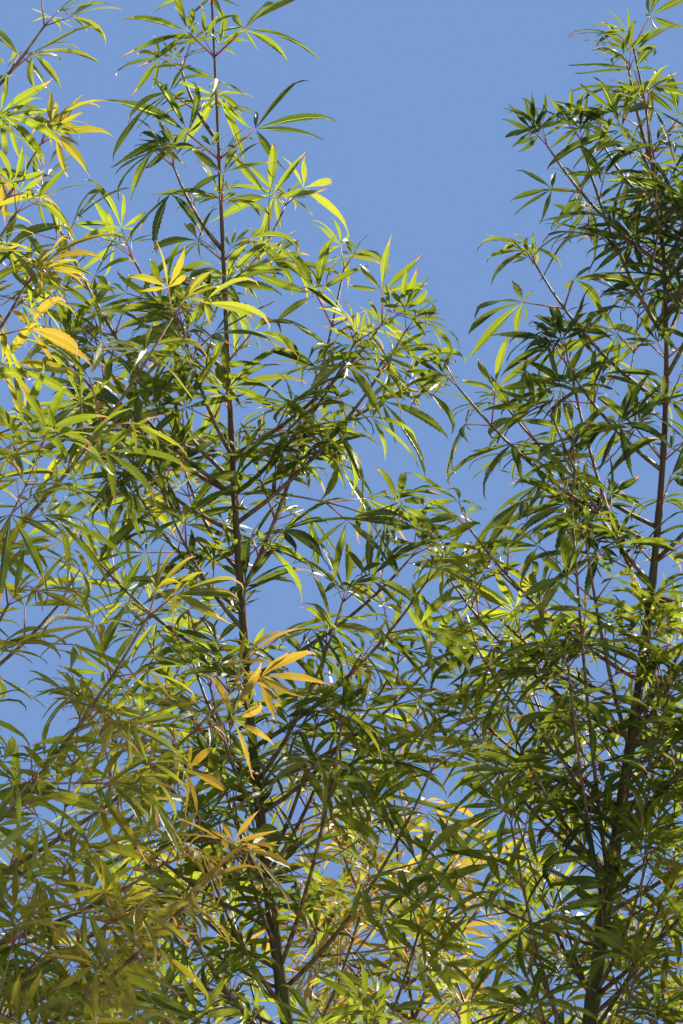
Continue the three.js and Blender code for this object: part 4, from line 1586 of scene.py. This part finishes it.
# %% [markdown]
# A mass is its stem, all its shoots, and the leaves that sit straight on the stem where that is
# young. How ripe a spray is depends on the mass, on how high the spray sits, since most tops turn
# first, and on chance. The same value also sets painted light: it places the spray's leaves on the
# scale of colours, whose deep green partly stands for painted shade and whose lime partly stands
# for the painted glow of leaves with the sun behind them. Each spray draws its chances from a
# stream of its own, so a spray can be added or taken out and all the others stay as they are.

# %% Growing a mass
FINE_SHOOTS = (0.12, 0.86)
FINE_SHORTER = 0.72
FINE_LEAN = 40
STEM_BUD_SPACING = 0.056
BARE_STEM = 0.2
LEAF_SIZE = 0.94
TOPS_RIPEN = 0.25
TIPS_TURN = 0.15
SPRAY_SPREAD = 0.2
SPRAY_STEP = 104729
FINE_SEED_STEP = 9000
HEIGHT_STEPS = 10000  # in a metre, so that each spray's height gives it a stream of its own
FIRST_FINE_NODE = 0.04
TOP_LEAF_SIZE = 1.2


def grow_mass(number, mass):
    curve = mass["curve"]
    dice = stream(mass["seed"] + FINE_SEED_STEP)
    low, high = curve[0][2], curve[-1][2]
    twigs, leaves = [], []

    def new_spray(height, riper=0.0):
        share = (height - low) / (high - low)
        own_dice = stream(mass["seed"] + SPRAY_STEP * round(HEIGHT_STEPS * height))
        # The tint also paints light: low tints give deep green, partly painted shade, and middle
        # ones lime, partly the painted glow of leaves with the sun behind them.
        tint = mass["ripeness_and_painted_light"] + mass.get("tops_ripen", TOPS_RIPEN) * (share - 0.5) + riper
        return dict(
            number=number, dice=own_dice, twigs=twigs, leaves=leaves,
            tint=tint + between(own_dice, -SPRAY_SPREAD, SPRAY_SPREAD),
            leaf_size=mass.get("leaf_size", LEAF_SIZE), twiggy=mass.get("twiggy", 1.0),
            tips_turn=mass.get("tips_turn", TIPS_TURN))

    for shoot in solid_shoots(number, mass):
        grow_shoot(new_spray(shoot[-1][2]), shoot)
    step, last = mass.get("fine", FINE_SHOOTS)
    nodes = max(FEWEST_NODES, round(last * length_of(curve) / step))
    gap_low, gap_high = mass.get("open_between", (0, 0))
    pairs = paired_shoots(mass, dice, nodes, FIRST_FINE_NODE, last, FINE_SHORTER, FINE_LEAN)
    for root, way in pairs:
        shoot = fitted_shoot(number, root, way)
        if shoot is not None and not gap_low < root[2] < gap_high:
            grow_shoot(new_spray(shoot[-1][2]), shoot)
    for root, way in placed_shoots(mass, mass.get("more", [])):
        shoot = fitted_shoot(number, root, way)
        if shoot is not None:
            grow_shoot(new_spray(shoot[-1][2], mass.get("more_ripens", 0.0)), shoot)
    buds = round(length_of(curve) / STEM_BUD_SPACING)
    for bud in range(1, buds):
        share = bud / buds
        if share > BARE_STEM:
            spot = along(curve, share)[0]
            spray = new_spray(spot[2])
            heading = heading_at(curve, share)
            turn = bud * np.pi / 2
            leaf_pair(spray, spot, heading, turn, STEM_LEAF_SIZES / spray["leaf_size"])
            leaf_pair(spray, spot, heading, turn, BUD_LEAF_SIZES, BUD_SPLAY)
    tip_leaves(new_spray(high), curve, buds * np.pi / 2, TOP_LEAF_SIZE)
    return twigs, leaves


first_twigs, first_leaves = grow_mass(0, MASSES["left_crown"])
print("left_crown grows", len(first_twigs), "shoots and twigs, and", len(first_leaves), "leaves")

# %% [markdown]
# The leaves are placed with arrays. Each leaf has its own three axes: its stalk's direction, the
# way its blade hangs, and the one across both. All the leaves of one kind are turned and moved in
# one multiplication, and their blades sag a little more the further they reach from the hub. A leaf
# that would leave its mass's space or the tree's whole box is left out. Particles or instances
# would be lighter, but they are not used here.

# %% Leaves set in their places
SAG = 1.5
RUST_SHARE = (0.18, 0.55)


def axes_of(leaves):
    aim = np.array([leaf["aim"] for leaf in leaves])
    roll = np.array([leaf["roll"] for leaf in leaves])[:, None]
    down = unit(-UP + aim * aim[:, 2:3])
    across = np.cross(aim, down)
    hang = np.cos(roll) * down + np.sin(roll) * across
    return np.stack([np.cross(aim, -hang), aim, -hang], axis=1)


def stamped(kind, leaves):
    feet = np.array([leaf["foot"] for leaf in leaves])
    sizes = np.array([leaf["size"] for leaf in leaves])[:, None, None]
    axes = axes_of(leaves)
    points = feet[:, None] + sizes * (kind["points"] @ axes)
    hubs = feet[:, None] + sizes * (kind["hub"][None, None] @ axes)
    reach = np.linalg.norm(points - hubs, axis=2)
    reach[:, :kind["stalk_points"]] = 0
    points[..., 2] -= SAG * reach**2
    return points, hubs[:, 0]


def chosen_slots(kind, leaves):
    tints = np.clip([leaf["tint"] for leaf in leaves], 0, 0.999)
    colour = (tints * len(LEAF_COLOURS)).astype(int)
    rust_share = RUST_SHARE[0] + (RUST_SHARE[1] - RUST_SHARE[0]) * tints
    rusty = np.array([leaf["dice"] for leaf in leaves]) < rust_share
    tip = np.where(rusty, RUST, colour)
    pink, pale = np.full(len(leaves), PINK), np.full(len(leaves), PALE)
    return np.stack([colour, tip, pink, pale], axis=1)[:, kind["parts"]]


print("blades sag by", SAG, "times the square of how far they reach")

# %% Many leaves as one mesh
OVERLAP_ALLOWED = 0.1
LEAF_CLEARANCE = 0.004
TOOTHED_FROM = 0.7
TUBE_SIDES_AND_RINGS = [(4, 7), (3, 4)]  # of a shoot and of a twig


def mesh_of(name, points, corners, sizes, slots, materials):
    mesh = bpy.data.meshes.new(name)
    mesh.vertices.add(len(points))
    mesh.vertices.foreach_set("co", points.ravel())
    mesh.loops.add(len(corners))
    mesh.loops.foreach_set("vertex_index", corners)
    mesh.polygons.add(len(sizes))
    mesh.polygons.foreach_set("loop_start", np.cumsum(sizes) - sizes)
    mesh.polygons.foreach_set("material_index", slots)
    mesh.polygons.foreach_set("use_smooth", np.ones(len(sizes), bool))
    for material in materials:
        mesh.materials.append(material)
    mesh.update(calc_edges=True)
    mesh.validate()
    piece = bpy.data.objects.new(name, mesh)
    bpy.context.collection.objects.link(piece)
    return piece


def kind_number(leaf, near):
    toothed = near and leaf["size"] > TOOTHED_FROM
    return leaf["kind"] + KINDS * toothed


def leaves_piece(name, number, leaves, near):
    lowest, highest = CAD_BOX
    labels = ("plain", "toothed") if near else ("far",)
    kinds = [kind for label in labels for kind in KINDS_BY_FINGER[label]]
    arrays = []
    count = 0
    kept_leaves = 0
    for which, kind in enumerate(kinds):
        mine = [leaf for leaf in leaves if kind_number(leaf, near) == which]
        if not mine:
            continue
        placed, hubs = stamped(kind, mine)
        inside = ((placed > lowest) & (placed < highest)).all(axis=(1, 2))
        has_room = room_at(number, hubs) > -OVERLAP_ALLOWED
        kept = inside & has_room & clear_of_limbs(hubs, LEAF_CLEARANCE)
        placed = placed[kept]
        starts = count + len(kind["points"]) * np.arange(len(placed))
        arrays.append((
            placed.reshape(-1, 3),
            (starts[:, None] + kind["corners"]).ravel(),
            np.tile(kind["sizes"], len(placed)),
            chosen_slots(kind, mine)[kept].ravel(),
        ))
        count += placed.shape[0] * placed.shape[1]
        kept_leaves += len(placed)
    return mesh_of(name, *joined(arrays), LEAF_MATERIALS), kept_leaves


def twigs_piece(name, twigs):
    arrays = []
    count = 0
    for curve, radii, slot in twigs:
        sides, rings = TUBE_SIDES_AND_RINGS[slot]
        points, corners, sizes = tube(curve, radii, sides, rings)
        arrays.append((points, corners + count, sizes, np.full(len(sizes), slot)))
        count += len(points)
    return mesh_of(name, *joined(arrays), TWIG_MATERIALS)


for label, kinds in KINDS_BY_FINGER.items():
    print("triangles in a", label, "leaf:", len(kinds[1]["corners"]) - 2 * len(kinds[1]["sizes"]))

# %% [markdown]
# Each mass becomes three pieces: a stem with bark that carries on from its bough, its twigs, and
# its leaves. All three stand for the one solid and ride on the tree's only body.

# %% Dress every mass
STEM_TIP_RADIUS = 0.001
NEAR_MASSES = ("left_crown", "right_crown", "front_left_crown", "mid_front_mass", "mid_right_mass")
totals = dict(shoots_and_twigs=0, leaves=0, triangles=0)
for number, (name, mass) in enumerate(MASSES.items()):
    radii = (LIMBS[mass["on"]]["radii"][1], STEM_TIP_RADIUS)
    stem = swept(f"{name}_stem", mass["curve"], radii, STEM_TAPER, 0, STEM_BARK)
    dress(stem, name)
    twigs, leaves = grow_mass(number, mass)
    dress(twigs_piece(f"{name}_twigs", twigs), name)
    foliage, leaf_count = leaves_piece(f"{name}_leaves", number, leaves, name in NEAR_MASSES)
    dress(foliage, name)
    triangles = len(foliage.data.loops) - 2 * len(foliage.data.polygons)
    print(f"{name}: {len(twigs)} shoots and twigs, {leaf_count} leaves, {triangles} triangles")
    totals["shoots_and_twigs"] += len(twigs)
    totals["leaves"] += leaf_count
    totals["triangles"] += triangles
print(totals)
